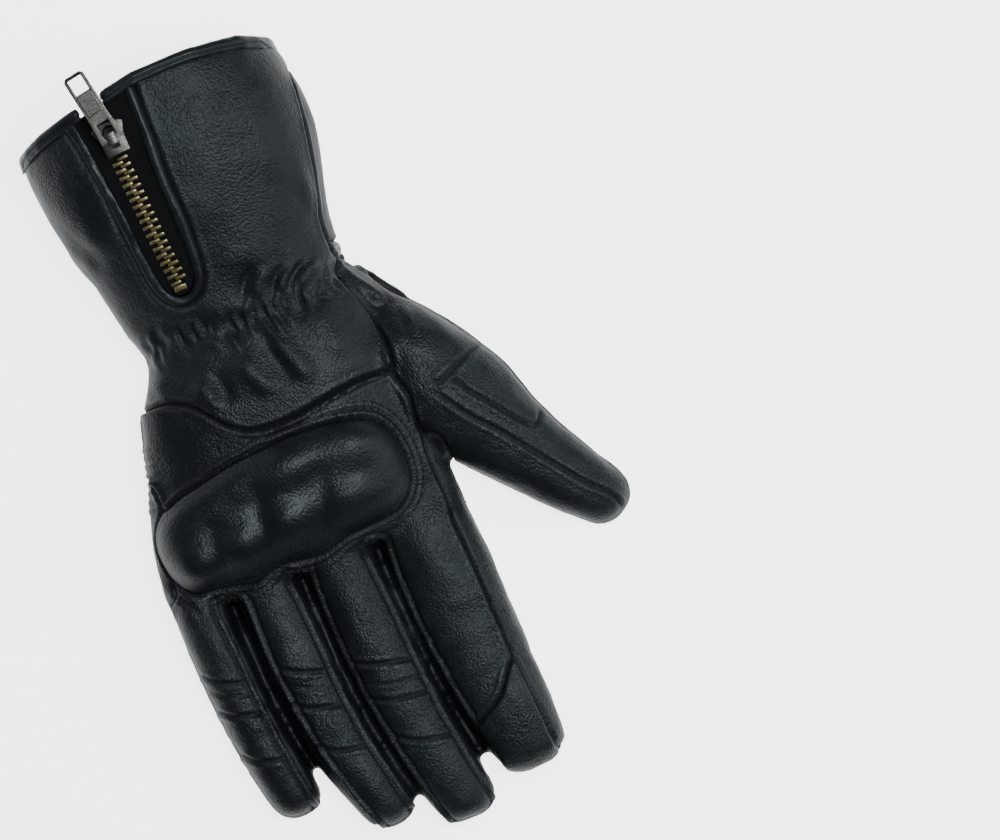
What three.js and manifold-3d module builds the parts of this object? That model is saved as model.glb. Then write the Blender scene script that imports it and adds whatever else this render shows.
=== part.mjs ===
// Leather motorcycle glove for the right hand, lying palm down with its cuff open.
// Millimetres, +Z up. The origin is on the palm patch, +Y runs to the cuff and +X to the thumb.
import * as THREE from "three";
import Module from "manifold-3d";
import { mergeVertices } from "three/addons/utils/BufferGeometryUtils.js";

const wasm = await Module();
wasm.setup();

// Driving sizes of the hand and cuff
const palmWidth = 114; // across the knuckles
const palmLength = 97; // from the wrist gathers to the roots of the fingers
const palmDepth = 40; // floor to the back of the hand
const cuffWidth = 108;
const cuffLength = 97; // from the wrist gathers to the hem
const cuffDepth = 62;
const leather = 1.8; // wall of every panel
const seamGap = 0.3; // between two pieces that meet
const padThickness = 1.7; // the overlays under the palm
const sectionPower = 2.4; // 2 is an ellipse, more is squarer
const sideShare = 0.36; // height of the side seams, as a share of the section
const restStep = 0.13; // neighbouring fingers rest this much above each other
const press = 2; // how far the underside is flattened where it rests

// Driving sizes of the fingers
const fingerDepth = 25;
const littleLength = 86;
const ringLength = 102;
const middleLength = 111;
const indexLength = 100;
const thumbLength = 106;
const thumbWidth = 44;
const thumbDepth = 31;

// Driving sizes of the trimmings
const bindingWidth = 5;
const wristWeltWidth = 3;
const bindingProud = 0.9; // how far the binding stands off the leather, inside and out
const guardHeight = 7.5;
const pleatDepth = 1.3;
const pleatPitch = 8.4;
const weltWidth = 4.5; // leather strip round the zip
const weltProud = 0.8; // how far the strip stands off the cuff
const zipGap = 11; // half of the gap between the two sides of the strip at the hem
const tipWall = 1.1; // overlay on the index fingertip
const tapeThickness = 1;
const tapeDrop = 0.5; // tape below the leather's face
const toothPitch = 2.8;
const toothReach = 3.3; // from the middle of the chain to a tooth's root
const toothHeight = 2.2;
const sliderLength = 13;
const sliderWidth = 9;
const sliderHeight = 4;
const pullLength = 28;
const pullWidth = 8.2;
const pullThickness = 1.8;

// Places that follow from the sizes
const wristY = palmLength * 0.62;
const crotchY = wristY - palmLength;
const ceiling = (palmDepth + cuffDepth) * 2; // above everything, for cutting solids

const table = (columns, rows) =>
  rows.map((row) => Object.fromEntries(columns.map((column, index) => [column, row[index]])));

// Sections of the cuff from the hem to the wrist, as shares of the cuff's length, width and depth
const cuffSections = table(["along", "left", "right", "top"], [
  [1.06, -0.475, 0.475, 1.0],
  [0.88, -0.475, 0.480, 0.98],
  [0.78, -0.478, 0.512, 0.97],
  [0.69, -0.458, 0.525, 0.94],
  [0.51, -0.455, 0.510, 0.88],
  [0.31, -0.397, 0.458, 0.79],
  [0.20, -0.377, 0.432, 0.73],
  [0.11, -0.367, 0.443, 0.68],
]);

// Sections of the hand from the wrist to the finger roots, as shares of its length, width and depth
const handSections = table(["along", "left", "right", "top", "lift"], [
  [0.00, -0.316, 0.412, 0.98, 1],
  [0.10, -0.325, 0.438, 1.00, 1],
  [0.21, -0.395, 0.460, 1.03, 1],
  [0.41, -0.438, 0.462, 1.00, 1],
  [0.62, -0.502, 0.478, 0.90, 1],
  [0.78, -0.536, 0.485, 0.80, 1],
  [0.93, -0.545, 0.493, 0.70, 1],
  [1.00, -0.540, 0.492, 0.62, 1],
]);

const bodySections = [
  ...cuffSections.map((row) => ({
    y: wristY + row.along * cuffLength,
    left: row.left * cuffWidth,
    right: row.right * cuffWidth,
    top: row.top * cuffDepth,
    lift: 0,
  })),
  ...handSections.map((row) => ({
    y: wristY - row.along * palmLength,
    left: row.left * palmWidth,
    right: row.right * palmWidth,
    top: row.top * palmDepth,
    lift: row.lift * (padThickness + seamGap),
  })),
];

// Puffs and creases along a finger, as shares of its length, width and depth
const fingerSections = table(["along", "width", "depth"], [
  [-0.14, 0.86, 0.90],
  [0.00, 0.90, 1.04],
  [0.14, 0.98, 1.01],
  [0.33, 1.00, 1.02],
  [0.39, 0.98, 0.95],
  [0.44, 1.00, 1.00],
  [0.49, 0.98, 0.93],
  [0.55, 1.00, 0.99],
  [0.61, 0.97, 0.92],
  [0.70, 0.99, 0.96],
  [0.90, 0.93, 0.86],
]);

// Fingers: root, tip, width and sideways bow as shares of the palm's width, the share of the width
// that is lost towards the tip, and the edges of the back panel as shares of half the width
const fingerColumns = ["name", "root", "tip", "width", "bow", "taper", "backLeft", "backRight", "length"];
const fingerRows = table(fingerColumns, [
  ["little", -0.448, -0.370, 0.192, -0.017, 0.05, -0.97, 0.62, littleLength],
  ["ring", -0.224, -0.088, 0.248, -0.042, 0.22, -0.68, 0.78, ringLength],
  ["middle", 0.028, 0.150, 0.266, -0.030, 0.14, -0.80, 0.82, middleLength],
  ["index", 0.336, 0.410, 0.352, -0.018, 0.26, -0.86, 0.58, indexLength],
]);

// Thumb: its middle line and width along its length, as shares of its length, width and depth
const thumbSections = table(["along", "aside", "width", "depth"], [
  [-0.16, 0.000, 0.80, 0.80],
  [0.00, 0.000, 0.95, 1.06],
  [0.19, -0.008, 1.00, 1.05],
  [0.35, -0.016, 0.98, 0.98],
  [0.49, -0.030, 0.81, 0.88],
  [0.64, -0.036, 0.69, 0.80],
  [0.79, -0.033, 0.60, 0.74],
  [0.90, -0.022, 0.52, 0.68],
]);
const thumbRoot = { x: palmWidth * 0.456, y: wristY - palmLength * 0.33 };
const thumbAngle = 0.612; // leans from straight down the hand towards +X

const clamp = (value, low, high) => Math.min(high, Math.max(low, value));

// Reads one column of a table between its rows, with a smooth curve through them
function column(rows, key, name, at) {
  const rising = rows[rows.length - 1][key] > rows[0][key];
  const list = rising ? rows : [...rows].reverse();
  const last = list.length - 1;
  const place = clamp(at, list[0][key], list[last][key]);
  let index = 0;
  while (index < last - 1 && place > list[index + 1][key]) index += 1;
  const before = list[Math.max(index - 1, 0)];
  const from = list[index];
  const to = list[index + 1];
  const after = list[Math.min(index + 2, last)];
  const span = to[key] - from[key];
  const share = (place - from[key]) / span;
  const slope = (low, high) => ((high[name] - low[name]) / (high[key] - low[key])) * span;
  const startSlope = slope(before, to);
  const endSlope = slope(from, after);
  const square = share * share;
  const cube = square * share;
  return (
    (2 * cube - 3 * square + 1) * from[name] +
    (cube - 2 * square + share) * startSlope +
    (3 * square - 2 * cube) * to[name] +
    (cube - square) * endSlope
  );
}

// A point of the hand in plan, from shares of the palm's width and of its length below the wrist
const handPoint = (x, along) => new THREE.Vector2(x * palmWidth, wristY - along * palmLength);
// A point of the cuff in plan, from shares of the cuff's width and of its length above the wrist
const cuffPoint = (x, along) => new THREE.Vector2(x * cuffWidth, wristY + along * cuffLength);

const bodyAt = (y) => ({
  left: column(bodySections, "y", "left", y),
  right: column(bodySections, "y", "right", y),
  top: column(bodySections, "y", "top", y),
  lift: Math.max(0, column(bodySections, "y", "lift", y)),
});

const signedPower = (value, power) => Math.sign(value) * Math.abs(value) ** power;

// A rounded section with a flattened underside: across from the middle, and height
function sectionPoint(angle, half, bottom, top) {
  const across = half * signedPower(Math.cos(angle), 2 / sectionPower);
  const middle = bottom + (top - bottom) * sideShare;
  const lift = signedPower(Math.sin(angle), 2 / sectionPower);
  const height = lift > 0 ? middle + (top - middle) * lift : middle + (middle - bottom + press) * lift;
  return { across, height: Math.max(height, bottom) };
}

// Gathers that the wrist elastic draws up on the back of the cuff
function gathers(x, y) {
  const spread = 1 / (1 + ((y - wristY) / (pleatPitch * 0.9)) ** 4);
  const lean = x + (wristY - y) * 0.25;
  return pleatDepth * spread * (0.5 - 0.5 * Math.cos((2 * Math.PI * lean) / pleatPitch));
}

// Height of the back of the body over a point in plan
function backHeight(x, y) {
  const body = bodyAt(y);
  const middleX = (body.left + body.right) / 2;
  const half = (body.right - body.left) / 2;
  const aside = clamp(Math.abs(x - middleX) / half, 0, 0.985);
  const middleZ = body.lift + (body.top - body.lift) * sideShare;
  return middleZ + (body.top - middleZ) * (1 - aside ** sectionPower) ** (1 / sectionPower);
}

// Joins rings of points into a closed body, with a fan over each end
function loft(rings) {
  const positions = [];
  const faces = [];
  const count = rings[0].length;
  const middle = (ring) =>
    ring.reduce((sum, point) => sum.add(point), new THREE.Vector3()).divideScalar(ring.length);
  rings.forEach((ring) => ring.forEach((point) => positions.push(point.x, point.y, point.z)));
  for (const ring of [rings[0], rings[rings.length - 1]]) {
    const point = middle(ring);
    positions.push(point.x, point.y, point.z);
  }
  const startFan = rings.length * count;
  const endFan = startFan + 1;
  const lastRing = (rings.length - 1) * count;
  for (let side = 0; side < count; side += 1) {
    const next = (side + 1) % count;
    faces.push(startFan, next, side, endFan, lastRing + side, lastRing + next);
    for (let row = 0; row < rings.length - 1; row += 1) {
      const low = row * count;
      const high = low + count;
      faces.push(low + side, low + next, high + next, low + side, high + next, high + side);
    }
  }
  const geometry = new THREE.BufferGeometry();
  geometry.setAttribute("position", new THREE.Float32BufferAttribute(positions, 3));
  geometry.setIndex(faces);
  return geometry;
}

// A closed mesh as a solid that can be cut and joined, turned right side out if needed
function solidOf(geometry) {
  const plain = geometry.clone();
  plain.deleteAttribute("normal");
  plain.deleteAttribute("uv");
  const merged = mergeVertices(plain, 1e-4);
  const vertProperties = new Float32Array(merged.attributes.position.array);
  const triVerts = new Uint32Array(merged.index.array);
  let volume = 0;
  const corner = (index) => new THREE.Vector3().fromArray(vertProperties, triVerts[index] * 3);
  for (let index = 0; index < triVerts.length; index += 3) {
    volume += corner(index).dot(corner(index + 1).cross(corner(index + 2)));
  }
  if (volume < 0) triVerts.reverse();
  return new wasm.Manifold(new wasm.Mesh({ numProp: 3, vertProperties, triVerts }));
}

// The biggest closed piece of a cut solid as a geometry, without the crumbs that a cut can leave
function geometryOf(solid) {
  const mesh = solid.getMesh();
  const corner = (vertex) => {
    const start = mesh.triVerts[vertex] * mesh.numProp;
    return [...mesh.vertProperties.slice(start, start + 3)];
  };
  const joined = new Map();
  mesh.mergeFromVert.forEach((from, index) => joined.set(from, mesh.mergeToVert[index]));
  const nameOf = (vertex) => joined.get(mesh.triVerts[vertex]) ?? mesh.triVerts[vertex];
  const faceCount = mesh.triVerts.length / 3;
  const owner = Array.from({ length: faceCount }, (_, index) => index);
  const root = (index) => {
    let place = index;
    while (owner[place] !== place) place = owner[place];
    return place;
  };
  const faceOnEdge = new Map();
  for (let face = 0; face < faceCount; face += 1) {
    const names = [0, 1, 2].map((side) => nameOf(face * 3 + side));
    names.forEach((name, side) => {
      const edge = [name, names[(side + 1) % 3]].sort().join("|");
      if (faceOnEdge.has(edge)) owner[root(faceOnEdge.get(edge))] = root(face);
      faceOnEdge.set(edge, face);
    });
  }
  const pieces = new Map();
  for (let face = 0; face < faceCount; face += 1) {
    const key = root(face);
    if (!pieces.has(key)) pieces.set(key, []);
    pieces.get(key).push(face);
  }
  const biggest = [...pieces.values()].sort((a, b) => b.length - a.length)[0];
  const positions = biggest.flatMap((face) => [0, 1, 2].flatMap((side) => corner(face * 3 + side)));
  const geometry = new THREE.BufferGeometry();
  geometry.setAttribute("position", new THREE.Float32BufferAttribute(positions, 3));
  return geometry;
}

// Angles round a section, closer together over the back than under it
function sectionAngles(overBack, under) {
  const over = Array.from({ length: overBack }, (_, index) => (Math.PI * index) / overBack);
  const beneath = Array.from({ length: under }, (_, index) => Math.PI * (1 + index / under));
  return [...over, ...beneath];
}

// The body of cuff and hand, grown or shrunk by a wall
function bodySolid(grow, angles, stations) {
  const rings = stations.map((y) => {
    const body = bodyAt(y);
    const middleX = (body.left + body.right) / 2;
    const half = (body.right - body.left) / 2 + grow;
    return angles.map((angle) => {
      const point = sectionPoint(angle, half, body.lift - Math.min(grow, 0), body.top + grow);
      const x = middleX + point.across;
      const fold = grow >= 0 && Math.sin(angle) > 0 ? gathers(x, y) * Math.sin(angle) : 0;
      return new THREE.Vector3(x, y, point.height + fold);
    });
  });
  return solidOf(loft(rings));
}

// Rounds the end of a finger: shares of the way to the tip where a ring stands
const tipRings = [0.52, 0.92];
const tipStart = 0.9; // share of the length where the rounded end begins
const tipPower = 2.3; // 2 is a round tip, more is squarer
const rootRaised = 0.14; // share of the length up to which the underside is lifted off the palm's overlays

// A finger or thumb from its sections along a bent middle line
function fingerSolid(finger, grow, angles, fine) {
  const end = 1 + grow / finger.length;
  const straight = finger.sections
    .map((row) => row.along)
    .filter((along, index) => fine || index % 2 === 0 || along === tipStart);
  const stations = [...straight, ...tipRings.map((share) => tipStart + (end - tipStart) * share)];
  const rings = stations.map((along) => {
    const share = Math.min(along, tipStart);
    const onTip = clamp((along - tipStart) / (end - tipStart), 0, 1);
    const round = (1 - onTip ** tipPower) ** (1 / tipPower);
    const half = (finger.width * column(finger.sections, "along", "width", share)) / 2;
    const narrowed = half * (1 - finger.taper * clamp(along, 0, 1) ** 2) + grow;
    const depth = finger.depth * column(finger.sections, "along", "depth", share);
    const raised = (padThickness + seamGap) * 1.15 * clamp((rootRaised - along) * 5, 0, 1);
    const bottom = Math.max(-grow, 0) + Math.max(finger.rest, raised);
    const top = bottom + (depth + grow - bottom) * (0.35 + 0.65 * round);
    const middle = finger.middleLine(along);
    return angles.map((angle) => {
      const point = sectionPoint(angle, narrowed * round, bottom, top);
      return new THREE.Vector3(
        middle.x + point.across * finger.across.x,
        middle.y + point.across * finger.across.y,
        point.height,
      );
    });
  });
  return solidOf(loft(rings.reverse()));
}

const fingers = fingerRows.map((row, index) => {
  const root = handPoint(row.root, 1);
  const tip = new THREE.Vector2(row.tip * palmWidth, crotchY - row.length);
  const reach = tip.clone().sub(root);
  const across = new THREE.Vector2(-reach.y, reach.x).normalize();
  return {
    ...row,
    width: row.width * palmWidth,
    depth: fingerDepth,
    rest: restStep * (index % 2),
    sections: fingerSections,
    length: reach.length(),
    across,
    middleLine: (along) =>
      root
        .clone()
        .addScaledVector(reach, along)
        .addScaledVector(across, row.bow * palmWidth * Math.sin(Math.PI * clamp(along, 0, 1) ** 1.15)),
  };
});

const thumbDirection = new THREE.Vector2(Math.sin(thumbAngle), -Math.cos(thumbAngle));
const thumbAcross = new THREE.Vector2(-thumbDirection.y, thumbDirection.x);
const thumb = {
  width: thumbWidth,
  depth: thumbDepth,
  rest: restStep * 2,
  taper: 0,
  sections: thumbSections,
  length: thumbLength,
  across: thumbAcross,
  middleLine: (along) =>
    new THREE.Vector2(thumbRoot.x, thumbRoot.y)
      .addScaledVector(thumbDirection, along * thumbLength)
      .addScaledVector(thumbAcross, column(thumbSections, "along", "aside", along) * thumbLength),
};

const spread = (from, to, steps) =>
  Array.from({ length: steps + 1 }, (_, index) => from + ((to - from) * index) / steps);
const hemEnd = wristY + cuffLength * 1.05;
const gatherEnd = wristY + pleatPitch * 1.7;
const gatherStart = wristY - pleatPitch * 1.4;
const fineStations = [
  ...spread(crotchY, gatherStart, 8),
  ...spread(gatherStart, gatherEnd, 6).slice(1),
  ...spread(gatherEnd, hemEnd, 6).slice(1),
];
const coarseStations = [
  crotchY + leather,
  ...bodySections
    .map((row) => row.y)
    .filter((y) => y > crotchY + leather * 2 && y < hemEnd)
    .sort((low, high) => low - high),
  hemEnd,
];

// The whole outside, or the whole hollow when it is shrunk by a wall
function gloveSolid(grow, fine) {
  const bodyAngles = fine ? sectionAngles(24, 7) : sectionAngles(10, 5);
  const limbAngles = fine ? sectionAngles(7, 4) : sectionAngles(4, 3);
  const body = bodySolid(grow, bodyAngles, fine ? fineStations : coarseStations);
  const limbs = [...fingers, thumb].map((limb) => fingerSolid(limb, grow, limbAngles, fine));
  return limbs.reduce((sum, limb) => sum.add(limb), body);
}

const outside = gloveSolid(0, true);
const hollow = gloveSolid(-leather, false);
const shell = outside.subtract(hollow);

// A straight-sided solid over an outline in plan
function prism(points, low = -ceiling, high = ceiling) {
  const shape = new THREE.Shape(points);
  const geometry = new THREE.ExtrudeGeometry(shape, { depth: high - low, bevelEnabled: false });
  return solidOf(geometry.translate(0, 0, low));
}

// Moves an outline in plan outwards, or inwards when the distance is negative
function grown(points, distance) {
  const turn = THREE.ShapeUtils.isClockWise(points) ? 1 : -1;
  return points.map((point, index) => {
    const before = points[(index + points.length - 1) % points.length];
    const after = points[(index + 1) % points.length];
    const first = point.clone().sub(before).normalize();
    const second = after.clone().sub(point).normalize();
    const normal = new THREE.Vector2(-first.y - second.y, first.x + second.x);
    if (normal.length() < 0.2) return point.clone();
    const lean = Math.max(normal.length() / 2, 0.5);
    return point.clone().addScaledVector(normal.normalize(), (turn * distance) / lean);
  });
}

// Height of the side seams all along the glove
const sideHeight = (y) => {
  if (y > crotchY) return bodyAt(y).lift + (bodyAt(y).top - bodyAt(y).lift) * sideShare;
  return fingerDepth * 0.4;
};

// Everything above the side seams, moved up by a clearance
function aboveSides(clearance) {
  const far = crotchY - middleLength * 2;
  const profile = [...spread(crotchY, hemEnd + cuffLength, 14)].map(
    (y) => new THREE.Vector2(y, sideHeight(Math.min(y, hemEnd)) + clearance),
  );
  profile.unshift(new THREE.Vector2(far, sideHeight(far) + clearance));
  profile.push(new THREE.Vector2(hemEnd + cuffLength, ceiling), new THREE.Vector2(far, ceiling));
  const geometry = new THREE.ExtrudeGeometry(new THREE.Shape(profile), {
    depth: palmWidth * 4,
    bevelEnabled: false,
  });
  const axes = new THREE.Matrix4().makeBasis(
    new THREE.Vector3(0, 1, 0),
    new THREE.Vector3(0, 0, 1),
    new THREE.Vector3(1, 0, 0),
  );
  return solidOf(geometry.applyMatrix4(axes).translate(-palmWidth * 2, 0, 0));
}

const above = aboveSides(0);
const below = solidOf(new THREE.BoxGeometry(palmWidth * 5, palmWidth * 6, ceiling * 3)).subtract(
  aboveSides(-seamGap),
);
const bounds = { left: -palmWidth, right: palmWidth * 1.6 };

// The hem across the mouth of the cuff, from the little side to the thumb side
const hemRows = table(["x", "along"], [
  [-0.60, 0.80], [-0.47, 0.875], [-0.37, 0.912], [-0.21, 0.948], [-0.09, 0.978],
  [0, 0.997], [0.19, 1.005], [0.38, 0.990], [0.47, 0.955], [0.60, 0.900],
]);
const hemLine = (down) => hemRows.map((row) => cuffPoint(row.x, row.along - down / cuffLength));

// The band of plan between two distances below the hem
const hemBand = (from, to) => [...hemLine(from), ...hemLine(to).reverse()];

// The curved seam across the back, from the little side to the thumb side
const backSeamRows = table(["x", "along"], [
  [-0.60, 0.195], [-0.307, 0.203], [-0.26, 0.223], [-0.22, 0.252], [-0.158, 0.346], [-0.105, 0.405],
  [-0.05, 0.431], [0.05, 0.436], [0.13, 0.424], [0.25, 0.398], [0.38, 0.388], [0.446, 0.392],
]);
const backSeam = backSeamRows.map((row) => handPoint(row.x, row.along));

// The long seam on the thumb side: on the cuff, and from the wrist to the root of the index finger
const cuffSeam = table(["x", "along"], [
  [0.515, 1.2], [0.500, 0.854], [0.491, 0.638], [0.454, 0.411], [0.412, 0.257], [0.402, 0.12],
]).map((row) => cuffPoint(row.x, row.along));
const handSeamRows = table(["x", "along"], [
  [0.384, 0.02], [0.430, 0.156], [0.450, 0.31], [0.446, 0.392], [0.452, 0.517], [0.437, 0.66],
  [0.432, 0.774], [0.438, 0.877], [0.445, 0.981],
]);
const handSeam = handSeamRows.map((row) => handPoint(row.x, row.along));
const seamAboveBack = handSeam.slice(0, 3);
const seamBelowBack = handSeam.slice(4);

// The seam on the little side of the back of the hand
const littleSeam = table(["x", "along"], [
  [-0.505, 0.981], [-0.492, 0.825], [-0.455, 0.67], [-0.405, 0.517], [-0.50, 0.36], [-0.50, 0.204],
]).map((row) => handPoint(row.x, row.along));

// The edge of a panel on a finger, at a share of half its width
function fingerEdge(finger, side) {
  const stations = [0.03, 0.17, 0.29, 0.46, 0.64, 0.84, 0.965, 1.03];
  return stations.map((along) => {
    const share = Math.min(along, tipStart);
    const width = finger.width * column(finger.sections, "along", "width", share);
    const half = (width / 2) * (1 - finger.taper * Math.min(along, 1) ** 2);
    const edge = finger.middleLine(along).addScaledVector(finger.across, half * side);
    return edge;
  });
}

// A comb of finger panels joined to a hand panel, as one outline in plan
function comb(handOutline, edges, clearance) {
  const hand = prism(grown(handOutline, clearance));
  return fingers.reduce((sum, finger) => {
    const { left, right } = edges(finger);
    const root = handPoint(0, 0.93).y;
    const leftEdge = fingerEdge(finger, left);
    const rightEdge = fingerEdge(finger, right);
    leftEdge.unshift(new THREE.Vector2(leftEdge[0].x, root));
    rightEdge.unshift(new THREE.Vector2(rightEdge[0].x, root));
    return sum.add(prism(grown([...leftEdge, ...rightEdge.reverse()], clearance)));
  }, hand);
}

const backOutline = [
  ...backSeam.slice(1, -1).reverse(),
  ...littleSeam.slice().reverse(),
  ...seamBelowBack.slice().reverse(),
];
const backComb = (clearance) =>
  comb(backOutline, (finger) => ({ left: finger.backLeft, right: finger.backRight }), clearance);

const cuffBackOutline = [
  new THREE.Vector2(bounds.left, hemEnd * 1.2),
  ...backSeam.map((point, index) => (index ? point : new THREE.Vector2(bounds.left, point.y))),
  ...seamAboveBack.slice().reverse(),
  ...cuffSeam.slice().reverse(),
];

// The zip: the middle of its gap and half of the gap's width, along the cuff
const zipRows = table(["along", "x", "open"], [
  [1.12, -0.150, 1.15], [0.93, -0.146, 1.00], [0.82, -0.137, 0.86], [0.70, -0.131, 0.78],
  [0.58, -0.126, 0.70], [0.40, -0.120, 0.66], [0.25, -0.114, 0.58],
]);
const zipEnd = 0.15; // share of the cuff's length where the gap ends
const knuckleSeam = 0.87; // share of the palm's length where the finger backs start, under the guard
const bandSeam = 0.93; // the same for the finger fronts, at the seam of the palm's band
const zipMiddle = (y) => column(zipRows, "along", "x", (y - wristY) / cuffLength) * cuffWidth;

// The outline of the zip's gap, moved outwards
function zipOutline(outwards) {
  const edgePoint = (row, sign) => {
    const aside = sign * (zipGap * row.open + outwards);
    return cuffPoint(row.x, row.along).add(new THREE.Vector2(aside, 0));
  };
  const side = (sign) => zipRows.map((row) => edgePoint(row, sign));
  const last = zipRows[zipRows.length - 1];
  const radius = zipGap * last.open + outwards;
  const foot = cuffPoint(last.x, last.along);
  const depth = (last.along - zipEnd) * cuffLength + outwards;
  const round = spread(0.15, 0.85, 5).map(
    (share) => new THREE.Vector2(
      foot.x - radius * Math.cos(Math.PI * share),
      foot.y - depth * Math.sin(Math.PI * share),
    ),
  );
  return [...side(-1), ...round, ...side(1).reverse()];
}

const weltOutline = zipOutline(weltWidth);

// What lies on the thumb's side of the hand
const thumbOutline = [
  new THREE.Vector2(palmWidth * 0.384, handPoint(0, -0.04).y),
  ...seamAboveBack,
  ...handSeam.slice(3, 6),
  handPoint(0.500, 0.70),
  handPoint(0.508, 0.85),
  handPoint(0.532, 0.93),
  handPoint(0.545, 1.4),
  new THREE.Vector2(bounds.right, crotchY * 3),
  new THREE.Vector2(bounds.right, handPoint(0, -0.04).y),
];

const colours = { leather: 0x17191b, guard: 0x1d2022, tape: 0x101010, brass: 0x8b7a4b, nickel: 0x9a9a94 };
const finishes = {
  leather: new THREE.MeshStandardMaterial({ color: colours.leather, roughness: 0.5, metalness: 0 }),
  guard: new THREE.MeshStandardMaterial({ color: colours.guard, roughness: 0.4, metalness: 0 }),
  tape: new THREE.MeshStandardMaterial({ color: colours.tape, roughness: 0.9, metalness: 0 }),
  brass: new THREE.MeshStandardMaterial({ color: colours.brass, roughness: 0.4, metalness: 1 }),
  nickel: new THREE.MeshStandardMaterial({ color: colours.nickel, roughness: 0.3, metalness: 1 }),
};
const glove = new THREE.Group();

function place(name, geometry, finish, parent = glove) {
  const mesh = new THREE.Mesh(geometry, finishes[finish]);
  mesh.name = name;
  parent.add(mesh);
  return mesh;
}

// The panels of the back are cut from the shell first, then the palm, then what is left at the sides
let rest = shell;
function cutPanel(name, region, widerRegion) {
  place(name, geometryOf(rest.intersect(region)), "leather");
  rest = rest.subtract(widerRegion);
}

const boundEdge = prism(hemBand(-cuffLength, bindingWidth + seamGap));
rest = rest.subtract(boundEdge);

const thumbRegion = prism(thumbOutline);
const thumbShell = rest.intersect(thumbRegion);
rest = rest.subtract(prism(grown(thumbOutline, seamGap)));
place("thumb_back", geometryOf(thumbShell.intersect(above)), "leather");
place("thumb_palm", geometryOf(thumbShell.intersect(below)), "leather");

const zipCut = prism(grown(weltOutline, seamGap), sideHeight(hemEnd) * 1.2);
const cuffBack = prism(cuffBackOutline).intersect(above).subtract(zipCut);
place("cuff_back", geometryOf(rest.intersect(cuffBack)), "leather");
rest = rest.subtract(prism(grown(cuffBackOutline, seamGap)).intersect(aboveSides(-seamGap)));

const wide = (low, high) => [
  new THREE.Vector2(bounds.left, low),
  new THREE.Vector2(bounds.right, low),
  new THREE.Vector2(bounds.right, high),
  new THREE.Vector2(bounds.left, high),
];

// The middle of the gap between two neighbouring fingers, from the knuckles to past their tips
function gapLine(first, second, start) {
  const left = fingerEdge(first, 1);
  const right = fingerEdge(second, -1);
  const line = left.map((point, index) => point.clone().lerp(right[index], 0.5));
  return [new THREE.Vector2(line[0].x, start), ...line];
}

// Parts a panel across the knuckles into one piece for the hand and one for each finger
function partFingers(panel, handName, ending, along) {
  const start = handPoint(0, along).y;
  const beyond = (clearance) => prism(wide(crotchY * 6, start - clearance));
  const lines = fingers.slice(1).map((finger, index) => gapLine(fingers[index], finger, start));
  const ends = [bounds.left, bounds.right].map((x) => [
    new THREE.Vector2(x, start),
    new THREE.Vector2(x, crotchY * 6),
  ]);
  const edges = [ends[0], ...lines, ends[1]];
  place(handName, geometryOf(panel.subtract(beyond(0))), "leather");
  const fingerPanels = panel.intersect(beyond(seamGap));
  fingers.forEach((finger, index) => {
    const outline = [...edges[index], ...edges[index + 1].slice().reverse()];
    const region = prism(grown(outline, -seamGap / 2));
    place(`${finger.name}_${ending}`, geometryOf(fingerPanels.intersect(region)), "leather");
  });
}

const backPanel = rest.intersect(backComb(0)).intersect(above);
rest = rest.subtract(backComb(seamGap).intersect(aboveSides(-seamGap)));
partFingers(backPanel, "hand_back", "back", knuckleSeam);

// The palm side: the cuff down to the wrist welt, then the comb of the palm and the fingers
const weltY = wristY + palmLength * 0.14;
const cuffPalm = prism(wide(weltY + seamGap, hemEnd * 1.3));
cutPanel("cuff_palm", cuffPalm, prism(wide(weltY, hemEnd * 1.3)));
const ridge = prism(wide(weltY - wristWeltWidth, weltY));
cutPanel("wrist_welt", ridge, prism(wide(weltY - wristWeltWidth - seamGap, weltY)));

const palmOutline = table(["x", "along"], [
  [0.50, -0.30], [0.50, 0.06], [0.50, 0.55], [0.44, 0.70], [0.46, 0.85], [0.46, 0.983],
  [-0.48, 0.983], [-0.50, 0.80], [-0.42, 0.52], [-0.50, 0.35], [-0.50, -0.30],
]).map((row) => handPoint(row.x, row.along));
const palmComb = (clearance) => comb(palmOutline, () => ({ left: -0.74, right: 0.74 }), clearance);
const palmPanel = rest.intersect(palmComb(0)).intersect(below);
rest = rest.subtract(palmComb(seamGap).intersect(below));
partFingers(palmPanel, "palm_panel", "front", bandSeam);

// The strips between the fingers, each from the middle of one finger to the middle of the next
const sideNames = [
  "little_side",
  "fourchette_little_ring",
  "fourchette_ring_middle",
  "fourchette_middle_index",
  "index_side",
];
const middleEdges = fingers.map((finger) => {
  const edge = fingerEdge(finger, 0);
  edge.unshift(new THREE.Vector2(edge[0].x, hemEnd));
  return edge;
});
const outerLeft = [new THREE.Vector2(bounds.left, hemEnd), new THREE.Vector2(bounds.left, crotchY * 6)];
const outerRight = outerLeft.map((point) => new THREE.Vector2(bounds.right, point.y));
const stripEdges = [outerLeft, ...middleEdges, outerRight];
sideNames.forEach((name, index) => {
  const outline = [...stripEdges[index], ...stripEdges[index + 1].slice().reverse()];
  place(name, geometryOf(rest.intersect(prism(outline))), "leather");
});

// The hem is bound with a strip that stands off both faces, and stops at the zip
const rimAngles = sectionAngles(14, 8);
const rimStations = spread(wristY + cuffLength * 0.7, hemEnd, 3);
const rim = bodySolid(bindingProud, rimAngles, rimStations)
  .subtract(bodySolid(-leather - bindingProud, rimAngles, spread(wristY, hemEnd + 1, 4)));
const notch = [
  cuffPoint(-0.213, 0.7),
  cuffPoint(-0.125, 0.7),
  cuffPoint(-0.125, 1.3),
  cuffPoint(-0.213, 1.3),
];
const binding = rim
  .intersect(prism(hemBand(0, bindingWidth)))
  .subtract(prism(notch, sideHeight(hemEnd)));
place("cuff_binding", geometryOf(binding), "leather");

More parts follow.
